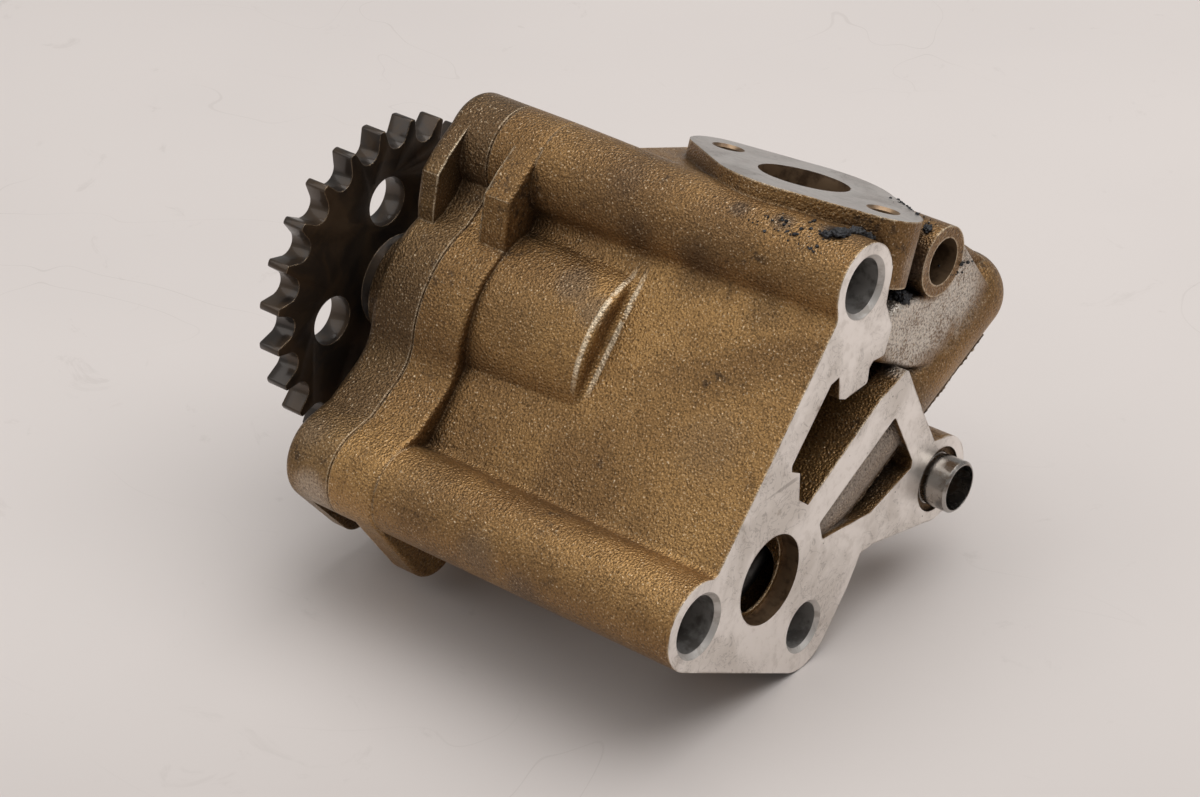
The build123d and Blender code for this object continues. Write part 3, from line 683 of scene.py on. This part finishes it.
@dataclass(frozen=True)
class Milled(Finish):
    """Milled aluminium with fine scratches and faint stains."""

    bright: Colour = (0.91, 0.86, 0.815)
    dull: Colour = (0.69, 0.64, 0.59)
    stain: Colour = (0.2, 0.13, 0.075)
    speck: Colour = (0.03, 0.025, 0.022)
    vein: Colour = (0.3, 0.27, 0.25)
    rough: float = 0.34
    dirt: float = 0.5
    cloud_size: float = 16 * MM
    mottle_size: float = 2.8 * MM
    vein_size: float = 4.5 * MM
    scratch_size: float = 1.1 * MM
    speck_gap: float = 4.2 * MM
    rim_width: float = 0.8 * MM
    rim_patch: float = 5 * MM
    cut_size: float = 0.9 * MM
    cut_depth: float = 0.02 * MM
    mottle_depth: float = 0.04 * MM
    edge_round: float = 0.2 * MM
    cut_run: Triple = (1, 0.06, 1.0)
    cut_turn: Triple = (0.35, 0, 0)
    scratch_run: Triple = (1, 0.035, 0.6)
    scratch_turn: Triple = (0.5, 0, 0)

    def build(self) -> Material:
        """Builds the material.

        Returns:
            The material.
        """
        tree = Tree(self.name, self.bright)
        cloud = tree.noise(self.cloud_size, 4.0, 0.6, 0.5)
        mottle = tree.noise(self.mottle_size, 4.0, 0.65)
        tree.lay(tree.step(cloud, 0.4, 0.66), self.dull)
        tree.lay(tree.step(mottle, 0.5, 0.66, 0.45), self.dull)
        dirt = tree.times(tree.step(mottle, 0.6, 0.72), tree.step(cloud, 0.52, 0.66), self.dirt)
        tree.lay(dirt, self.stain)
        vein = tree.off_middle(tree.noise(self.vein_size, 4.0, 0.65, 1.2), 0.5)
        veined = tree.times(tree.step(vein, 0.022, 0.006), tree.step(cloud, 0.42, 0.6), 0.45)
        tree.lay(veined, self.vein)
        strokes = tree.stretch(self.scratch_run, self.scratch_turn)
        scratch = tree.noise(self.scratch_size, 3.0, 0.6, 0.0, strokes)
        scratched = tree.times(tree.step(scratch, 0.64, 0.7), tree.step(cloud, 0.5, 0.6), 0.55)
        tree.lay(scratched, self.vein)
        tree.lay(tree.step(tree.cells(self.speck_gap), 0.055, 0.03, 0.8), self.speck)
        rim = tree.edge_wear(self.rim_width, 0.02, 0.2)
        browned = tree.times(rim, tree.step(tree.noise(self.rim_patch), 0.45, 0.6), 0.7)
        tree.lay(browned, self.stain)
        rough = tree.blend(tree.step(mottle, 0.35, 0.65), self.rough - 0.06, self.rough + 0.1)
        cuts = tree.noise(self.cut_size, 2.0, 0.5, 0.0, tree.stretch(self.cut_run, self.cut_turn))
        normal = tree.bump(cuts, self.cut_depth, 0.35, tree.soft_edges(self.edge_round))
        return tree.finish(rough, tree.bump(mottle, self.mottle_depth, 0.25, normal))


@dataclass(frozen=True)
class BoredWall(Finish):
    """Wall of a bore: turned metal with dark streaks."""

    bright: Colour = (0.5, 0.48, 0.46)
    dark: Colour = (0.17, 0.155, 0.14)
    rough: float = 0.42
    streak_size: float = 3 * MM
    ring_size: float = 0.6 * MM
    ring_depth: float = 0.03 * MM
    metal: float = 0.7

    def build(self) -> Material:
        """Builds the material.

        Returns:
            The material.
        """
        tree = Tree(self.name, self.bright)
        streak = tree.noise(self.streak_size, 4.0, 0.6)
        tree.lay(tree.step(streak, 0.4, 0.66, 0.8), self.dark)
        rings = tree.noise(self.ring_size, 2.0, 0.5, 0.0, tree.stretch((1, 0.02, 0.02)))
        return tree.finish(self.rough, tree.bump(rings, self.ring_depth, 0.4), self.metal)


@dataclass(frozen=True)
class OilySteel(Finish):
    """Hardened steel under a dark film of oil, bared by wear at its edges, with a painted highlight there.
    """

    film: Colour = (0.043, 0.034, 0.028)
    brown: Colour = (0.068, 0.045, 0.028)
    # Colour of the edges' wear and of their painted highlight.
    edge: Colour = (0.62, 0.44, 0.27)
    cloud_size: float = 9 * MM
    fine_size: float = 1.2 * MM
    fine_depth: float = 0.06 * MM
    wear_width: float = 0.35 * MM
    edge_round: float = 0.3 * MM
    metal: float = 0.75
    oil: float = 0.45

    def build(self) -> Material:
        """Builds the material.

        Returns:
            The material.
        """
        tree = Tree(self.name, self.film)
        cloud = tree.noise(self.cloud_size, 4.0, 0.6, 0.8)
        fine = tree.noise(self.fine_size, 3.0, 0.6)
        tree.lay(tree.step(cloud, 0.42, 0.62), self.brown)
        # Edges bared by wear, and a painted highlight along them.
        wear_and_highlight = tree.times(tree.edge_wear(self.wear_width, 0.03, 0.22), tree.step(fine, 0.36, 0.52))
        tree.lay(wear_and_highlight, self.edge)
        rough = tree.blend(tree.step(cloud, 0.35, 0.7), 0.3, 0.5)
        normal = tree.bump(fine, self.fine_depth, 0.3, tree.soft_edges(self.edge_round))
        return tree.finish(rough, normal, self.metal, self.oil)


@dataclass(frozen=True)
class Steel(Finish):
    """Plain metal in several grades, from bright turned work to dark wire."""

    bright: Colour
    stain: Colour
    rough: float
    stained: float
    lines: Triple = (1, 0.05, 0.05)
    cloud_size: float = 3.2 * MM
    line_size: float = 0.35 * MM
    line_depth: float = 0.02 * MM
    edge_round: float = 0.15 * MM

    def build(self) -> Material:
        """Builds the material.

        Returns:
            The material.
        """
        tree = Tree(self.name, self.bright)
        cloud = tree.noise(self.cloud_size, 4.0, 0.65, 0.5)
        streak = tree.noise(self.line_size, 2.0, 0.5, 0.0, tree.stretch(self.lines))
        tree.lay(tree.step(cloud, 0.48, 0.66, self.stained), self.stain)
        rough = tree.blend(tree.step(cloud, 0.4, 0.7), self.rough, self.rough + 0.16)
        normal = tree.bump(streak, self.line_depth, 0.35, tree.soft_edges(self.edge_round))
        return tree.finish(rough, normal)


@dataclass(frozen=True)
class Grime(Finish):
    """Dried oil and dirt that clings to the casting."""

    dry: Colour = (0.028, 0.028, 0.034)
    wet: Colour = (0.006, 0.006, 0.007)
    crumb_size: float = 0.9 * MM
    crumb_depth: float = 0.3 * MM

    def build(self) -> Material:
        """Builds the material.

        Returns:
            The material.
        """
        tree = Tree(self.name, self.wet)
        crumbs = tree.noise(self.crumb_size, 4.0, 0.7)
        tree.lay(tree.step(crumbs, 0.45, 0.6), self.dry)
        rough = tree.blend(tree.step(crumbs, 0.4, 0.65), 0.35, 0.8)
        return tree.finish(rough, tree.bump(crumbs, self.crumb_depth, 0.7), 0.0)


@dataclass(frozen=True)
class TablePaint(Finish):
    """Pale painted table top with faint scuffs, fine scratches and a few dark dots, and painted shade that
    darkens it towards the camera.
    """

    pale: Colour = (0.7, 0.645, 0.615)
    cloud: Colour = (0.64, 0.59, 0.565)
    scuff: Colour = (0.5, 0.45, 0.42)
    # Colour of the painted shade on the near side of the table.
    near_falloff_shade: Colour = (0.54, 0.495, 0.47)
    scratch: Colour = (0.42, 0.37, 0.34)
    dot: Colour = (0.16, 0.13, 0.12)
    cloud_size: float = 120 * MM
    scuff_size: float = 20 * MM
    scuff_depth: float = 0.2 * MM
    scratch_size: float = 110 * MM
    dot_gap: float = 45 * MM
    rough: float = 0.62
    away: Triple = (-0.63, 0.78, 0)

    def build(self) -> Material:
        """Builds the material.

        Returns:
            The material.
        """
        tree = Tree(self.name, self.pale)
        cloud = tree.noise(self.cloud_size, 3.0, 0.5)
        scuff = tree.noise(self.scuff_size, 5.0, 0.7, 1.5)
        tree.lay(tree.step(cloud, 0.35, 0.7, 0.35), self.cloud)
        tree.lay(tree.step(scuff, 0.62, 0.72, 0.25), self.scuff)
        # Painted shade: the table darkens towards the camera, as the lamps' light falls off.
        away = tree.along_line(Vector(self.away), ORIGIN)
        tree.lay(tree.step(away, 60 * MM, -90 * MM, 0.8), self.near_falloff_shade)
        line = tree.off_middle(tree.noise(self.scratch_size, 2.0, 0.4, 2.0), 0.5)
        scratched = tree.times(tree.step(line, 0.0022, 0.0008), tree.step(cloud, 0.46, 0.6), 0.22)
        tree.lay(scratched, self.scratch)
        tree.lay(tree.step(tree.cells(self.dot_gap), 0.022, 0.012, 0.7), self.dot)
        return tree.finish(self.rough, tree.bump(scuff, self.scuff_depth, 0.2), 0.0)


@dataclass
class Paintshop:
    """Keeps one material for each finish."""

    made: dict[str, Material] = field(default_factory=dict)

    def paint(self, finish: Finish) -> Material:
        """Gives the material of a finish, built the first time it is asked for.

        Args:
            finish: The finish.

        Returns:
            Its material.
        """
        if finish.name not in self.made:
            self.made[finish.name] = finish.build()
        return self.made[finish.name]


SHOP = Paintshop()


# ---- mesh helpers
def pick(piece: Object) -> None:
    """Selects one object alone and makes it active.

    Args:
        piece: Object that the next operators act on.
    """
    bpy.ops.object.select_all(action="DESELECT")
    piece.select_set(True)
    bpy.context.view_layer.objects.active = piece


def apply_modifier(piece: Object, kind: str, **settings: object) -> None:
    """Adds a modifier and applies it at once.

    Args:
        piece: Object that takes it.
        kind: Blender's name of the modifier.
        settings: Values of the modifier.
    """
    pick(piece)
    modifier = piece.modifiers.new(kind.title(), kind)
    for key, value in settings.items():
        setattr(modifier, key, value)
    bpy.ops.object.modifier_apply(modifier=modifier.name)


def bake(piece: Object) -> None:
    """Bakes a piece's place, turn and scale into its mesh."""
    pick(piece)
    bpy.ops.object.transform_apply(location=True, rotation=True, scale=True)


def dab(piece: Object, material: Material) -> None:
    """Makes a material the piece's only one."""
    piece.data.materials.clear()
    piece.data.materials.append(material)


def settle(piece: Object, name: str, body: Body) -> None:
    """Bakes a piece's place into its mesh, names it and lets it ride on its body.

    Args:
        piece: Finished piece.
        name: Its name.
        body: Body that carries it.
    """
    bake(piece)
    piece.name = name
    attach(piece, body.value)
    LOG.info("%s: %d faces", name, len(piece.data.polygons))


def rounded_copy(node: str, name: str, width: float, body: Body) -> Object:
    """Stands a copy with broken edges in for a CAD node.

    Args:
        node: CAD node that is copied.
        name: Name of the copy.
        width: Width of the edge break, in metres.
        body: Body that carries it.

    Returns:
        The copy.
    """
    pick(frame["nodes"][node])
    bpy.ops.object.duplicate()
    piece = bpy.context.view_layer.objects.active
    piece.parent = None
    piece.matrix_world = Matrix.Identity(4)
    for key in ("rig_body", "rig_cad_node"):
        del piece[key]
    pick(piece)
    bpy.ops.mesh.customdata_custom_splitnormals_clear()
    bpy.ops.object.mode_set(mode="EDIT")
    bpy.ops.mesh.select_all(action="SELECT")
    bpy.ops.mesh.remove_doubles(threshold=MM / 1000)
    bpy.ops.mesh.dissolve_limited(angle_limit=FLAT)
    bpy.ops.object.mode_set(mode="OBJECT")
    apply_modifier(piece, "BEVEL", width=width, segments=2, limit_method="ANGLE", angle_limit=SHARP)
    pick(piece)
    bpy.ops.object.shade_smooth_by_angle(angle=SHARP)
    settle(piece, name, body)
    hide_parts(node)
    return piece


# ---- stains, painted shade and painted light
SMOKE = (0.155, 0.115, 0.082)
SOOT = (0.05, 0.044, 0.042)
# Pale tint: wear on the cover, and painted light on the wall by the pickup flange.
PALE = (0.62, 0.53, 0.44)
# Oil stain; also painted shade on the closed end and far side of the relief barrel.
OIL_STAIN_AND_SHADE = (0.165, 0.092, 0.04)
# Dark oil stain; also painted shade below the upper bolt tube and on the relief barrel's far side.
DARK_OIL_AND_SHADE = (0.085, 0.05, 0.026)
# Each mark: station and section place in millimetres, reach in millimetres, tint, share
BODY_MARKS = (
    Mark((-58, 14.5, 40), 15, OIL_STAIN_AND_SHADE, 0.45),
    Mark((-52, 14.2, 45.5), 6, SMOKE, 0.5),
    Mark((-45.5, 12.5, 42), 5, SMOKE, 0.5),
    Mark((-13, 10, 28), 10, SMOKE, 0.22),
    Mark((-45, 21, 67), 15, OIL_STAIN_AND_SHADE, 0.6),
    Mark((-28, 20, 63), 13, OIL_STAIN_AND_SHADE, 0.55),
    Mark((-9, 20, 62), 9, OIL_STAIN_AND_SHADE, 0.35),
    Mark((-17, 21.7, 69), 3.5, SOOT, 0.6),
    Mark((-26, 21, 68.5), 3, SOOT, 0.5),
    Mark((-8, 25, 70.2), 4, SOOT, 0.9),
    Mark((-50, 20.5, 66), 6, SOOT, 0.35),
    Mark((-44, -8.4, -2.5), 7, SMOKE, 0.55),
    Mark((-33, -7.2, -5), 6, SMOKE, 0.6),
    # Painted light: paler wall by the pickup flange.
    Mark((-5, 46.5, 62), 5, PALE, 0.45),
    Mark((-5.5, 49, 57), 4, SOOT, 0.9),
    # Painted shade on the closed end and far side of the relief barrel.
    Mark((-9.6, 82, 56.5), 12, OIL_STAIN_AND_SHADE, 0.85),
    Mark((-12, 74, 44), 12, OIL_STAIN_AND_SHADE, 0.75),
    Mark((-5, 62, 36), 7, SMOKE, 0.6),
    # Painted light: paler wall by the pickup flange.
    Mark((-3, 43.5, 65), 8, PALE, 0.45),
    Mark((-60, -6, 0), 14, OIL_STAIN_AND_SHADE, 0.55),
    Mark((-32, -7, -4), 14, OIL_STAIN_AND_SHADE, 0.45),
    Mark((-55, 20, 64), 15, OIL_STAIN_AND_SHADE, 0.5),
    # Painted shade in the groove below the upper bolt tube.
    Mark((-45, 17, 56), 8, DARK_OIL_AND_SHADE, 0.7),
    Mark((-30, 17, 56), 8, DARK_OIL_AND_SHADE, 0.7),
    Mark((-15, 16, 55), 8, DARK_OIL_AND_SHADE, 0.6),
    # Painted shade on the far side of the relief barrel.
    Mark((-10, 84, 60), 9, DARK_OIL_AND_SHADE, 0.6),
    Mark((-10, 86, 50), 9, DARK_OIL_AND_SHADE, 0.5),
    Mark((-45, 4, -13), 12, DARK_OIL_AND_SHADE, 0.5),
    Mark((-18, 26, 33), 16, OIL_STAIN_AND_SHADE, 0.75),
    Mark((-12, 55, 27), 7, OIL_STAIN_AND_SHADE, 0.6),
    Mark((-6, 57, 18), 8, DARK_OIL_AND_SHADE, 0.8),
    Mark((-14, 46, 40), 9, DARK_OIL_AND_SHADE, 0.5),
)
COVER_MARKS = (
    Mark((-85.1, -7.8, -5), 6.5, PALE, 0.45),
    Mark((-88, -6, 4), 6, SMOKE, 0.4),
)


# ---- sub-assemblies
@dataclass(frozen=True)
class Bore:
    """A stated bore: a point on its axis, its axis, its radius and its reach along the axis."""

    origin: Vector
    axis: Vector
    radius: float
    reach: float


@dataclass
class Castings:
    """The pump body and its cover, with their milled faces and bores."""

    bore_mounts: tuple[str, ...] = (
        "lower_dowel_seat",
        "upper_dowel_seat",
        "oil_outlet",
        "side_port",
        "spare_boss_bore",
        "pickup_port",
        "dowel_bolt_bore",
        "lower_bolt_bore",
        "upper_bolt_bore",
    )
    oily_bore: Triple = (0.0, 55.4, 64.8)
    oily_reach: float = 4 * MM
    rim_width: float = 1.1 * MM
    wall_match: float = 0.15 * MM
    widest_drilled: float = 7 * MM
    past_end: float = 2.5
    tapped_depth: float = 16 * MM
    bolt_turn: float = math.radians(-7.9)
    same_way: float = 0.999
    inward: float = 0.5

    def bores(self) -> list[Bore]:
        """Collects the stated bores and the two tapped holes of the pickup flange.

        Returns:
            The bores.
        """
        found = []
        for name in self.bore_mounts:
            row = mount(name)
            reach = (row["dims"]["length_mm"] / 2 + self.past_end) * MM
            found.append(Bore(Vector(row["pos_m"]), Vector(row["axis"]), row["dims"]["r_mm"] * MM, reach))
        pattern = mount("pickup_bolts")
        centre, axis = Vector(pattern["pos_m"]), Vector(pattern["axis"])
        half = pattern["dims"]["pcd_mm"] * MM / 2
        radius = pattern["dims"]["hole_r_mm"] * MM
        across = Vector((math.cos(self.bolt_turn), 0, 0)) + along(math.sin(self.bolt_turn), 0)
        for side in (-1, 1):
            found.append(Bore(centre + across * half * side, axis, radius, self.tapped_depth))
        return found

    def zone_of(self, centre: Vector, normal: Vector, bores: list[Bore]) -> Zone:
        """Names the kind of surface that a face belongs to.

        Args:
            centre: Centre of the face.
            normal: Its normal.
            bores: The stated bores.

        Returns:
            The zone.
        """
        if normal.x > self.same_way and abs(centre.x) < SAME_PLANE:
            return Zone.FACE
        flange = mount("pickup_face")
        up = Vector(flange["axis"])
        height = (centre - Vector(flange["pos_m"])).dot(up)
        if normal.dot(up) > self.same_way and abs(height) < SAME_PLANE:
            return Zone.FLANGE
        oily = spot(*self.oily_bore)
        for bore in bores:
            offset = centre - bore.origin
            depth = offset.dot(bore.axis)
            radial = offset - bore.axis * depth
            if abs(depth) > bore.reach or normal.dot(radial) >= -self.inward * radial.length:
                continue
            lengthwise = abs(bore.axis.x) > 0.5
            if abs(radial.length - bore.radius) < self.wall_match:
                clean = (bore.origin - oily).yz.length > self.oily_reach
                drilled = lengthwise and clean and bore.radius < self.widest_drilled
                return Zone.BORE if drilled else Zone.PORT
            if bore.radius - SAME_PLANE < radial.length < bore.radius + self.rim_width:
                return Zone.CHAMFER if lengthwise else Zone.PORT
        return Zone.CAST

    def dress_node(self, node: str, cast: SandCast) -> None:
        """Gives each face of one casting its finish.

        Args:
            node: The casting's CAD node.
            cast: Finish of its cast surfaces.
        """
        flange = Milled("milled_flange", bright=(0.74, 0.71, 0.68), dull=(0.55, 0.52, 0.49), dirt=0.8)
        finishes = {
            Zone.CAST: cast,
            Zone.FACE: Milled("milled_face"),
            Zone.FLANGE: flange,
            Zone.BORE: BoredWall("bore_wall"),
            Zone.CHAMFER: Steel("bore_chamfer", (0.6, 0.57, 0.54), (0.36, 0.32, 0.28), 0.5, 0.5),
            Zone.PORT: BoredWall("port_wall", (0.3, 0.2, 0.12), (0.09, 0.055, 0.033), 0.35),
        }
        order = list(finishes)
        mesh = frame["nodes"][node].data
        mesh.materials.clear()
        for finish in finishes.values():
            mesh.materials.append(SHOP.paint(finish))
        bores = self.bores()
        counts = dict.fromkeys(order, 0)
        for face in mesh.polygons:
            zone = self.zone_of(face.center, face.normal, bores)
            face.material_index = order.index(zone)
            counts[zone] += 1
        LOG.info("%s: %s", node, {zone.value: count for zone, count in counts.items()})

    def dress(self) -> None:
        """Dresses the body and the cover."""
        self.dress_node("pump_body", BodyCast("sand_cast_body", marks=BODY_MARKS))
        gold, brown = (0.28, 0.168, 0.07), (0.15, 0.088, 0.04)
        self.dress_node("front_cover", SandCast("sand_cast_cover", gold, brown, marks=COVER_MARKS))


@dataclass
class ChainWheel:
    """The chain sprocket, with its edges broken."""

    edge_break: float = 0.28 * MM

    def build(self) -> None:
        """Builds and dresses the wheel."""
        wheel = rounded_copy(
            "drive_sprocket", "chain_sprocket", self.edge_break, Body.DRIVE_TRAIN
        )
        dab(wheel, SHOP.paint(OilySteel("oiled_sprocket")))


@dataclass
class PlainParts:
    """The pieces that keep their CAD shape and only take a finish."""

    def dress(self) -> None:
        """Gives each remaining node its finish."""
        ground = Steel("ground_finish", (0.6, 0.59, 0.57), (0.26, 0.2, 0.14), 0.24, 0.5)
        dark = Steel("dark_screw", (0.13, 0.12, 0.115), (0.05, 0.04, 0.03), 0.38, 0.6)
        gear = Steel("gear_finish", (0.45, 0.44, 0.43), (0.17, 0.13, 0.09), 0.3, 0.6, (0.05, 1, 1))
        wire = Steel("spring_wire", (0.3, 0.29, 0.28), (0.1, 0.07, 0.05), 0.32, 0.6, (1, 1, 1))
        bronze = Steel("bearing_bronze", (0.58, 0.4, 0.2), (0.24, 0.14, 0.06), 0.32, 0.6)
        copper = Steel("soft_copper", (0.66, 0.36, 0.24), (0.28, 0.14, 0.09), 0.34, 0.6)
        dowel = Steel("turned_dowel", (0.4, 0.375, 0.35), (0.16, 0.105, 0.065), 0.22, 0.75)
        dressed = {
            bronze: ("front_shaft_bush", "rear_shaft_bush", "idler_bush"),
            gear: ("drive_gear", "idler_gear"),
            ground: ("idler_pin", "drive_shaft", "gear_key", "cover_pins", "relief_plunger", "spring_seat"),
            wire: ("relief_spring",),
            dark: ("sprocket_washer", "sprocket_bolt", "cover_screws", "relief_plug"),
            copper: ("plug_washer",),
            dowel: ("ring_dowel",),
        }
        for finish, nodes in dressed.items():
            for node in nodes:
                dab(frame["nodes"][node], SHOP.paint(finish))
                LOG.info("%s: %s", node, finish.name)


@dataclass
class CakedGrime:
    """Lumps of dried oil and dirt that cling to the casting."""

    cakes: tuple[tuple[Triple, Triple], ...] = (
        ((-6.2, 24.5, 70.2), (1.6, 2.4, 0.9)),
        ((-5.6, 28.5, 70), (1.3, 2.6, 1)),
        ((-4.6, 31.6, 69.3), (1.2, 1.6, 0.9)),
        ((-8, 22.6, 69.6), (1.2, 1.3, 0.6)),
        ((-4.6, 49.2, 57.2), (1.4, 2.4, 1.3)),
        ((-3.6, 47.6, 58.8), (1.2, 1.4, 1.5)),
        ((-6.5, 49.5, 72), (1, 1.2, 0.7)),
        ((-4.2, 50.4, 71.6), (0.8, 1.3, 0.7)),
    )
    clusters: tuple[Quad, ...] = (
        (-8, 22.5, 70, 1.6),
        (-14, 20.5, 70, 2.4),
        (-18, 18.5, 70, 2),
        (-9, 17, 68, 1.6),
        (-5.5, 50.5, 73.4, 1.4),
        (-10, 52.5, 73.4, 1.5),
        (-1.8, 62, 62, 1.8),
        (-4, 66, 64, 2.2),
        (-4.5, 48.5, 58, 1.5),
    )
    crumbs: int = 190
    crumb_size: float = 0.3
    crumb_shape: Triple = (1.0, 1.4, 0.6)
    smallest: float = 0.3
    favour_small: float = 1.5
    seed: int = 11
    cake_finer: int = 4
    crumb_finer: int = 2
    rough_size: float = 0.65 * MM
    rough_depth: float = 1.3 * MM
    smooth_below: float = math.radians(40)

    def cling(self, place: Vector) -> Vector:
        """The nearest point of the casting's skin."""
        hit, point, _, _ = frame["nodes"]["pump_body"].closest_point_on_mesh(place)
        return point if hit else place

    def lump(self, place: Vector, size: Vector, finer: int) -> Object:
        """Models one lump.

        Args:
            place: Its centre.
            size: Half lengths along the shaft, across, and up, in millimetres.
            finer: Subdivisions of the ball that it starts from.

        Returns:
            The lump.
        """
        bpy.ops.mesh.primitive_ico_sphere_add(
            subdivisions=finer, radius=1.0, location=place, rotation=(-LIE, 0, 0)
        )
        lump = bpy.context.view_layer.objects.active
        lump.scale = size * MM
        bake(lump)
        return lump

    def build(self) -> None:
        """Builds the lumps and the crumbs as one piece."""
        draw = random.Random(self.seed)
        lumps = []
        for place, size in self.cakes:
            lumps.append(self.lump(self.cling(spot(*place)), Vector(size), self.cake_finer))
        for _ in range(self.crumbs):
            x, u, v, spread = draw.choice(self.clusters)
            place = spot(draw.gauss(x, spread), draw.gauss(u, spread), v)
            size = self.crumb_size * draw.uniform(self.smallest, 1.0) ** self.favour_small
            lumps.append(self.lump(self.cling(place), Vector(self.crumb_shape) * size, self.crumb_finer))
        bpy.ops.object.select_all(action="DESELECT")
        for lump in lumps:
            lump.select_set(True)
        bpy.context.view_layer.objects.active = lumps[0]
        bpy.ops.object.join()
        grime = bpy.context.view_layer.objects.active
        clouds = bpy.data.textures.new("grime_clouds", "CLOUDS")
        clouds.noise_scale = self.rough_size
        apply_modifier(grime, "DISPLACE", texture=clouds, strength=self.rough_depth)
        pick(grime)
        bpy.ops.object.shade_smooth_by_angle(angle=self.smooth_below)
        dab(grime, SHOP.paint(Grime("dried_grime")))
        settle(grime, "caked_grime", Body.HOUSING)


@dataclass
class PartingFlash:
    """The thin ragged fin that the mould's joint left along the relief barrel."""

    barrel_r: float = 8.4 * MM
    start: float = 4.0 * MM
    end: float = 52.0 * MM
    thick: float = 0.25 * MM
    stand: float = 0.3 * MM
    root: float = 0.5 * MM
    ragged: float = 0.28 * MM
    steps: int = 90
    seed: int = 5
    lengthwise: float = 0.9
    facing: Triple = (0.8137, 0.2283, -0.5352)

    def blank(self, out: Vector) -> Object:
        """Lays a straight strip along the barrel.

        Args:
            out: Direction that the strip stands out in.

        Returns:
            The strip.
        """
        length = self.end - self.start
        wide = self.stand + self.root
        bpy.ops.mesh.primitive_cube_add(size=1.0)
        fin = bpy.context.view_layer.objects.active
        turned = Matrix((BARREL_DOWN, out, BARREL_DOWN.cross(out))).transposed().to_4x4()
        turned.translation = self.centre(out)
        fin.matrix_world = turned @ Matrix.Diagonal((length, wide, self.thick, 1.0))
        bake(fin)
        return fin

    def centre(self, out: Vector) -> Vector:
        """Middle of the strip."""
        middle = BARREL_END + BARREL_DOWN * ((self.start + self.end) / 2)
        return middle + out * (self.barrel_r + (self.stand - self.root) / 2)

    def clear(self, kind: str) -> None:
        """Clears the strip's selection.

        Args:
            kind: Whether edges or corners are picked next, EDGE or VERT.
        """
        bpy.ops.object.mode_set(mode="EDIT")
        bpy.ops.mesh.select_mode(type=kind)
        bpy.ops.mesh.select_all(action="DESELECT")
        bpy.ops.object.mode_set(mode="OBJECT")

    def build(self) -> None:
        """Builds the fin: a strip, cut in short steps, its outer edge torn at random."""
        out = Vector(self.facing).normalized()
        out = (out - BARREL_DOWN * out.dot(BARREL_DOWN)).normalized()
        fin = self.blank(out)
        self.clear("EDGE")
        for edge in fin.data.edges:
            first, second = (fin.data.vertices[v].co for v in edge.vertices)
            edge.select = abs((second - first).normalized().dot(BARREL_DOWN)) > self.lengthwise
        bpy.ops.object.mode_set(mode="EDIT")
        bpy.ops.mesh.subdivide(number_cuts=self.steps)
        bpy.ops.object.mode_set(mode="OBJECT")
        self.clear("VERT")
        for vertex in fin.data.vertices:
            vertex.select = (vertex.co - self.centre(out)).dot(out) > 0
        bpy.ops.object.mode_set(mode="EDIT")
        bpy.ops.transform.vertex_random(offset=self.ragged, uniform=0.0, normal=0.0, seed=self.seed)
        bpy.ops.object.mode_set(mode="OBJECT")
        dab(fin, SHOP.paint(SandCast("flash_skin", gold=(0.26, 0.19, 0.13), brown=(0.14, 0.085, 0.05))))
        settle(fin, "parting_flash", Body.HOUSING)


# ---- studio
@dataclass
class Studio:
    """Pale table, soft lamps and the camera."""

    floor_size: float = 12.0
    floor_gap: float = 0.2 * MM
    eye: Triple = (0.2827, -0.378, 0.3412)
    forward: Triple = (-0.533, 0.6605, -0.5288)
    up: Triple = (-0.3316, 0.412, 0.8487)
    lens: float = 99.0
    sensor: float = 36.0
    nearest: float = 0.02
    farthest: float = 50.0
    key_place: Triple = (0.08, 0.3, 0.9)
    key_size: float = 1.2
    key_power: float = 9.0
    fill_place: Triple = (-0.5, -0.5, 0.65)
    fill_size: float = 0.8
    fill_power: float = 2.0
    sky_colour: Colour = (1.0, 0.98, 0.96)
    sky: float = 0.31

    def table(self) -> None:
        """Lays the table below the pump."""
        level = cad_box[0].z - self.floor_gap
        bpy.ops.mesh.primitive_plane_add(size=self.floor_size, location=(0, 0, level))
        floor = bpy.context.view_layer.objects.active
        floor.name = "table_top"
        dab(floor, SHOP.paint(TablePaint("table_paint")))

    def lamp(self, name: str, place: Triple, size: float, power: float) -> None:
        """Hangs a soft lamp that points at the pump.

        Args:
            name: Name of the lamp.
            place: Its place.
            size: Side of its square face.
            power: Its power in watts.
        """
        light = bpy.data.lights.new(name, "AREA")
        light.size = size
        light.energy = power
        lamp = bpy.data.objects.new(name, light)
        bpy.context.scene.collection.objects.link(lamp)
        lamp.location = place
        aim = (cad_box[0] + cad_box[1]) / 2 - Vector(place)
        lamp.rotation_euler = aim.to_track_quat("-Z", "Y").to_euler()

    def camera(self) -> None:
        """Sets up the camera."""
        data = bpy.data.cameras.new("camera")
        data.lens = self.lens
        data.sensor_width = self.sensor
        data.clip_start = self.nearest
        data.clip_end = self.farthest
        camera = bpy.data.objects.new("camera", data)
        bpy.context.scene.collection.objects.link(camera)
        back = -Vector(self.forward).normalized()
        right = Vector(self.up).cross(back).normalized()
        turned = Matrix((right, back.cross(right), back)).transposed().to_4x4()
        turned.translation = self.eye
        camera.matrix_world = turned
        bpy.context.scene.camera = camera

    def build(self) -> None:
        """Builds the studio."""
        self.table()
        self.lamp("key_lamp", self.key_place, self.key_size, self.key_power)
        self.lamp("fill_lamp", self.fill_place, self.fill_size, self.fill_power)
        world = bpy.data.worlds.new("studio")
        world.use_nodes = True
        background = world.node_tree.nodes["Background"]
        background.inputs["Color"].default_value = (*self.sky_colour, 1.0)
        background.inputs["Strength"].default_value = self.sky
        bpy.context.scene.world = world
        bpy.context.scene.view_settings.view_transform = "Standard"
        self.camera()


def main() -> None:
    """Dresses the part and sets up the studio."""
    logging.basicConfig(level=logging.INFO, format="%(message)s")
    Castings().dress()
    ChainWheel().build()
    PlainParts().dress()
    CakedGrime().build()
    PartingFlash().build()
    Studio().build()


if __name__ == "__main__":
    main()
